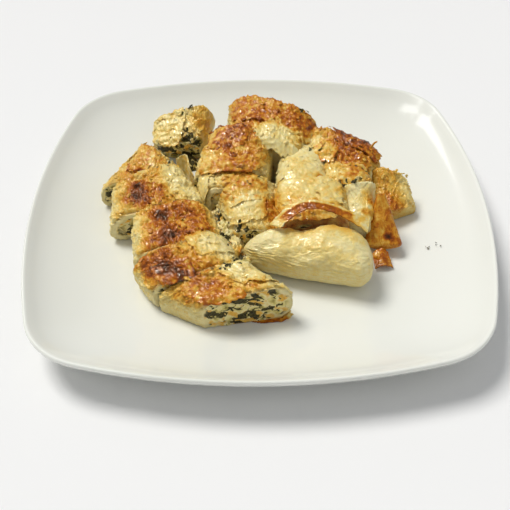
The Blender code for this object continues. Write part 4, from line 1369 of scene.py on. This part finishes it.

# Places of the spinach scraps: where filling came out, two on the plate, and in crevices between chunks, where
# their darkness is partly painted shade.
SCRAP_AND_CREVICE_SHADE_PLACES = np.array([
    (26, 60, 45.5), (28, 61, 45), (-20.7, -13.5, 23.9), (-17.2, -17.3, 23.6), (-11.5, -23.6, 28.2),
    (-4, -28, 24.5), (-6.6, -27.9, 28), (-22, -30, 25.8), (-17, -41, 27.5), (-13.5, -52, 27.5),
    (-19.5, -60, 29.9), (-16.4, -57.6, 29.9), (-12.9, -51, 26.8), (-10, -56, 30), (32.3, 31.7, 37),
    (36, 28.3, 38.7), (40.5, 25, 39.6), (49.3, 2, 37.4), (53.5, 1.0, 38.2), (57.3, 2.9, 37.4),
    (55, 11.5, 38.4), (60, 10, 37), (63, 9, 36), (-34.7, 17.6, 27), (-36, 18, 21), (-42.7, 83, 34),
    (-46.5, 80, 32.2), (-45.5, 67, 27.4), (-46, 64, 25.6), (-42.8, 62, 25), (-38, 59.5, 22.4),
    (-53.6, 62.5, 23.2), (-49.8, 61, 21.8), (-0.3, 4.9, 38.5), (-4.8, -0.3, 38.1), (95.3, -23.5, 9.6),
    (100.8, -23.4, 11),
])
SCRAPS_EACH = 4
ON_PLATE_SIZE = 0.5
TWIG_RADIUS = 0.75
TWIG_BAKE = 0.34
TWIG_PATH = [(65.5, 33, 35.5), (67, 33.4, 38.5), (68.2, 33.2, 41), (69.8, 32.6, 42.6)]
CARRY_REACH = 6.0


def vertex_table(piece):
    """The places in millimetres and the normals of a mesh's vertices."""
    count = len(piece.data.vertices)
    places, normals = np.empty(count * 3, np.float32), np.empty(count * 3, np.float32)
    piece.data.vertices.foreach_get("co", places)
    piece.data.vertex_normals.foreach_get("vector", normals)
    return places.reshape(-1, 3) / MM, normals.reshape(-1, 3)


def settled(places, carriers):
    """Each place moved to the carriers' nearest vertex, or else down to the plate, and the normal there."""
    tables = [vertex_table(piece) for piece in carriers]
    found, facing = (np.concatenate(parts) for parts in zip(*tables))
    moved = places.copy()
    moved[:, 2] = plate_top(places[:, 0], places[:, 1]) + REST_GAP
    normals = np.tile([0.0, 0.0, 1.0], (len(places), 1))
    for index, place in enumerate(places):
        far = ((found - place) ** 2).sum(axis=1)
        nearest = int(far.argmin())
        if far[nearest] < CARRY_REACH**2:
            moved[index], normals[index] = found[nearest], facing[nearest]
    return moved, normals


scrap_rng = np.random.default_rng(12)
scrap_places = np.repeat(SCRAP_AND_CREVICE_SHADE_PLACES, SCRAPS_EACH, axis=0)
scrap_places = scrap_places + scrap_rng.normal(size=scrap_places.shape) * 0.9
scrap_places, scrap_normals = settled(scrap_places, [*crusts.values(), *fillings.values(), heap])
scrap_places = scrap_places + scrap_normals * 0.5
scrap_normals = scrap_normals + scrap_rng.normal(size=scrap_places.shape) * 0.4
scrap_normals /= np.linalg.norm(scrap_normals, axis=1, keepdims=True)
scrap_sizes = scrap_rng.uniform(0.5, 1.7, len(scrap_places))
scrap_sizes[-2 * SCRAPS_EACH:] *= ON_PLATE_SIZE
scraps_and_crevice_shade = scattered(
    "spinach_scraps", scrap_places, scrap_normals, scrap_sizes, 0.55, 0.6, 13,
    {
        "dark": scrap_rng.uniform(0.75, 1.0, len(scrap_places)),
        "tone": scrap_rng.uniform(0.2, 0.8, len(scrap_places)),
    },
)


def stem(name, path, radius, bake, rows=24, columns=12):
    """A thin twig: circles of a tapering radius carried along a smooth path, closed at both ends."""
    middle = through(path, rows)
    heading = np.gradient(middle, axis=0)
    heading /= np.linalg.norm(heading, axis=1, keepdims=True)
    side = np.cross(heading, [0, 1, 0])
    side /= np.linalg.norm(side, axis=1, keepdims=True)
    other = np.cross(heading, side)
    turn = np.linspace(0, 2 * math.pi, columns, endpoint=False)
    taper = radius * np.sqrt(np.clip(1 - np.linspace(-1, 1, rows) ** 8, 0, 1)) * np.linspace(1.0, 0.7, rows)
    ring = np.cos(turn)[None, :, None] * side[:, None] + np.sin(turn)[None, :, None] * other[:, None]
    grid = middle[:, None] + taper[:, None, None] * ring
    made = closed_surface(name, grid, plain_values(np.full(grid.shape[:2], bake)))
    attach(made, "root")
    return made


twig = stem("crust_twig", TWIG_PATH, TWIG_RADIUS, TWIG_BAKE)
print("flakes:", len(places), "scraps:", len(scrap_places))

# %% [markdown]
# ## Effects that several finishes share
#
# Filo's mottling and the filling's colour are node groups, because several finishes use them. Mottling at two
# sizes breaks up the bake, since every crease and fleck of a leaf takes colour by itself. Oiled filo is
# glossy, most of all where it is brown, and there it is crumpled like foil: flat bits, each tilted its own
# way, that flash one by one. Noise gives no flat bits, but a Voronoi texture does: in each cell the bump's
# height rises along a direction drawn from the cell's own random colour. The filling's colour runs from cream
# to yellow cheese, under brown-green to nearly black leaf.

# %% Shared groups
FACET_SCALE = 560.0
FACET_TILT = 2.4 * FACET_SCALE
mottle, mottle_in, mottle_out = group(
    "mottle",
    [("Bake", "NodeSocketFloat", 0.5), ("Amount", "NodeSocketFloat", 0.2)],
    [("Bake", "NodeSocketFloat"), ("Fleck", "NodeSocketFloat"), ("Height", "NodeSocketFloat")],
)
where = add(mottle, "ShaderNodeTexCoord").outputs["Object"]
wide = add(mottle, "ShaderNodeTexNoise", {"Scale": 250.0, "Detail": 3.0, "Roughness": 0.6, "Distortion": 0.5})
small = add(mottle, "ShaderNodeTexNoise", {
    "Scale": 1000.0, "Detail": 3.0, "Roughness": 0.65, "Distortion": 0.8,
})
crinkle = add(mottle, "ShaderNodeTexVoronoi", {"Scale": 620.0}, feature="DISTANCE_TO_EDGE")
facet = add(mottle, "ShaderNodeTexVoronoi", {"Scale": FACET_SCALE}, feature="F1")
for node in (wide, small, crinkle, facet):
    mottle.links.new(where, node.inputs["Vector"])
both = maths(mottle, "ADD", maths(mottle, "SUBTRACT", wide.outputs["Fac"], 0.5),
             maths(mottle, "SUBTRACT", small.outputs["Fac"], 0.5))
moved = maths(mottle, "MULTIPLY", both, mottle_in.outputs["Amount"])
mottle.links.new(maths(mottle, "ADD", mottle_in.outputs["Bake"], moved), mottle_out.inputs["Bake"])
mottle.links.new(small.outputs["Fac"], mottle_out.inputs["Fleck"])
from_middle = add(mottle, "ShaderNodeVectorMath", operation="SUBTRACT")
mottle.links.new(where, from_middle.inputs[0])
mottle.links.new(facet.outputs["Position"], from_middle.inputs[1])
way = add(mottle, "ShaderNodeVectorMath", operation="SUBTRACT")
way.inputs[1].default_value = (0.5, 0.5, 0.5)
mottle.links.new(facet.outputs["Color"], way.inputs[0])
tilt = add(mottle, "ShaderNodeVectorMath", operation="DOT_PRODUCT")
mottle.links.new(from_middle.outputs["Vector"], tilt.inputs[0])
mottle.links.new(way.outputs["Vector"], tilt.inputs[1])
browned = maths(mottle, "MULTIPLY", maths(mottle, "SUBTRACT", mottle_in.outputs["Bake"], 0.20), 3.0)
browned = maths(mottle, "MINIMUM", maths(mottle, "MAXIMUM", browned, 0.0), 1.0)
faceted = maths(mottle, "MULTIPLY", maths(mottle, "MULTIPLY", tilt.outputs["Value"], FACET_TILT), browned)
creased = maths(mottle, "ADD", maths(mottle, "MULTIPLY", crinkle.outputs["Distance"], 0.6), faceted)
grained = maths(mottle, "MULTIPLY", small.outputs["Fac"], 0.7)
mottle.links.new(maths(mottle, "ADD", grained, creased), mottle_out.inputs["Height"])

filling_colour, fill_in, fill_out = group(
    "filling_colour",
    [("Dark", "NodeSocketFloat", 0.0), ("Tone", "NodeSocketFloat", 0.5)],
    [("Color", "NodeSocketColor"), ("Height", "NodeSocketFloat")],
)
where = add(filling_colour, "ShaderNodeTexCoord").outputs["Object"]
grain = add(filling_colour, "ShaderNodeTexNoise", {"Scale": 900.0, "Detail": 4.0, "Distortion": 0.8})
filling_colour.links.new(where, grain.inputs["Vector"])
uneven = maths(filling_colour, "SUBTRACT", grain.outputs["Fac"], 0.5)
shade = maths(filling_colour, "ADD", fill_in.outputs["Tone"], maths(filling_colour, "MULTIPLY", uneven, 0.4))
cheese = ramp(filling_colour, [
    (0.0, (0.34, 0.27, 0.07)), (0.25, (0.58, 0.47, 0.14)), (0.5, (0.80, 0.67, 0.26)), (0.7, (0.84, 0.74, 0.38)),
    (1.0, (0.80, 0.46, 0.07)),
], shade)
leafy = ramp(filling_colour, [
    (0.2, (0.018, 0.015, 0.005)), (0.5, (0.056, 0.047, 0.015)), (0.8, (0.16, 0.14, 0.036)),
], grain.outputs["Fac"])
sharp = maths(filling_colour, "ADD", fill_in.outputs["Dark"], maths(filling_colour, "MULTIPLY", uneven, 0.8))
mask = ramp(filling_colour, [(0.42, (0, 0, 0)), (0.58, (1, 1, 1))], sharp)
blend = add(filling_colour, "ShaderNodeMix", data_type="RGBA")
filling_colour.links.new(mask.outputs["Color"], blend.inputs["Factor"])
filling_colour.links.new(cheese.outputs["Color"], blend.inputs["A"])
filling_colour.links.new(leafy.outputs["Color"], blend.inputs["B"])
filling_colour.links.new(blend.outputs["Result"], fill_out.inputs["Color"])
filling_colour.links.new(grain.outputs["Fac"], fill_out.inputs["Height"])
print("nodes in the groups:", len(mottle.nodes), "and", len(filling_colour.nodes))

# %% [markdown]
# ## Filo, from cream to brown
#
# The bake runs through a colour ramp: cream, straw, gold, orange-brown, red-brown and a dark brown. Before
# the ramp it is raised a little along the edges of the stacked leaves and the rings of a cut: painted shade in
# the lines between leaves. The numbers stored at the points then mix in what else shows: the pale inner leaves
# at a cut, and the filling's colour where there is filling. One function makes two finishes. The baked one has
# more mottling and deeper creases, and the pale one lets more light in under its surface, as an unbrowned leaf
# does.

# %% Filo finish
BAKE_RAMP = [
    (0.00, (0.81, 0.71, 0.36)),
    (0.12, (0.79, 0.62, 0.22)),
    (0.26, (0.74, 0.45, 0.070)),
    (0.40, (0.63, 0.27, 0.020)),
    (0.54, (0.46, 0.125, 0.006)),
    (0.68, (0.27, 0.064, 0.008)),
    (0.82, (0.14, 0.040, 0.009)),
    (1.00, (0.050, 0.022, 0.010)),
]
CUT_COLOUR = (0.80, 0.70, 0.37)


def filo_finish(name, amount, gloss, coat, bump_height, soft):
    """A filo material: the bake, mottled, through the ramp; pale at cuts; filling colour where filling is."""
    made, tree, shader = new_material(name)
    number = {
        label: add(tree, "ShaderNodeAttribute", attribute_name=label).outputs["Fac"]
        for label in ("bake", "cut", "layer", "fill", "dark", "tone")
    }
    flecks = use_group(tree, mottle, {"Amount": amount})
    tree.links.new(number["bake"], flecks.inputs["Bake"])
    # The leaf-line number raises the bake along leaf edges and cut rings: painted shade between the leaves.
    shadowed = maths(tree, "ADD", flecks.outputs["Bake"], maths(tree, "MULTIPLY", number["layer"], 0.06))
    colour = ramp(tree, BAKE_RAMP, shadowed)
    pale_cut = add(tree, "ShaderNodeMix", data_type="RGBA")
    pale_cut.inputs["B"].default_value = (*CUT_COLOUR, 1)
    not_brown = maths(tree, "SUBTRACT", 0.65, number["bake"])
    tree.links.new(maths(tree, "MULTIPLY", number["cut"], not_brown), pale_cut.inputs["Factor"])
    tree.links.new(colour.outputs["Color"], pale_cut.inputs["A"])
    inside = use_group(tree, filling_colour, {})
    tree.links.new(number["dark"], inside.inputs["Dark"])
    tree.links.new(number["tone"], inside.inputs["Tone"])
    filled = add(tree, "ShaderNodeMix", data_type="RGBA")
    tree.links.new(number["fill"], filled.inputs["Factor"])
    tree.links.new(pale_cut.outputs["Result"], filled.inputs["A"])
    tree.links.new(inside.outputs["Color"], filled.inputs["B"])
    tree.links.new(filled.outputs["Result"], shader.inputs["Base Color"])
    rough = maths(tree, "SUBTRACT", gloss, maths(tree, "MULTIPLY", number["bake"], 0.16))
    tree.links.new(maths(tree, "ADD", rough, maths(tree, "MULTIPLY", flecks.outputs["Fleck"], 0.14)),
                   shader.inputs["Roughness"])
    bump = add(tree, "ShaderNodeBump", {"Strength": 0.9, "Distance": bump_height * MM})
    tree.links.new(flecks.outputs["Height"], bump.inputs["Height"])
    tree.links.new(bump.outputs["Normal"], shader.inputs["Normal"])
    shader.inputs["Specular IOR Level"].default_value = 0.22
    shader.inputs["Coat Weight"].default_value = coat
    shader.inputs["Coat Roughness"].default_value = 0.08
    shader.inputs["Subsurface Weight"].default_value = soft
    shader.inputs["Subsurface Radius"].default_value = (0.0022, 0.0013, 0.0006)
    return made


baked = filo_finish("baked_filo", 0.38, 0.26, 0.22, 0.34, 0.03)
pale = filo_finish("pale_filo", 0.26, 0.24, 0.30, 0.28, 0.12)
PALE_PIECES = ("front_roll", "pale_wedge", "pale_strip", "slice_6")
for name, piece in crusts.items():
    piece.data.materials.append(pale if name in PALE_PIECES else baked)
for name, piece in leaves.items():
    piece.data.materials.append(baked if name == "leaf_crisp" else pale)
for piece in PALE_SKINS:
    piece.data.materials.append(pale)
for piece in (*BROWN_SKINS, flakes, twig):
    piece.data.materials.append(baked)
print("filo finishes:", baked.name, "and", pale.name)

# %% [markdown]
# ## Spinach and cheese
#
# The filling's own finish is the shared filling colour with a moist, slightly soft surface. After it, all
# pieces of food are gathered in one collection, which tells the sparkle what it may light.

# %% Filling finish
filling_finish, tree, shader = new_material("spinach_and_cheese")
inside = use_group(tree, filling_colour, {})
for label, socket in (("dark", "Dark"), ("tone", "Tone")):
    source = add(tree, "ShaderNodeAttribute", attribute_name=label)
    tree.links.new(source.outputs["Fac"], inside.inputs[socket])
tree.links.new(inside.outputs["Color"], shader.inputs["Base Color"])
bump = add(tree, "ShaderNodeBump", {"Strength": 0.8, "Distance": 0.0004})
tree.links.new(inside.outputs["Height"], bump.inputs["Height"])
tree.links.new(bump.outputs["Normal"], shader.inputs["Normal"])
shader.inputs["Roughness"].default_value = 0.40
shader.inputs["Specular IOR Level"].default_value = 0.2
shader.inputs["Subsurface Weight"].default_value = 0.08
shader.inputs["Subsurface Radius"].default_value = (0.0015, 0.0012, 0.0005)
for piece in (*fillings.values(), scraps_and_crevice_shade, heap):
    piece.data.materials.append(filling_finish)

for name, piece in bpy.data.objects.items():
    if piece.type == "MESH" and piece not in (floor, plate) and name not in frame["nodes"]:
        food.objects.link(piece)
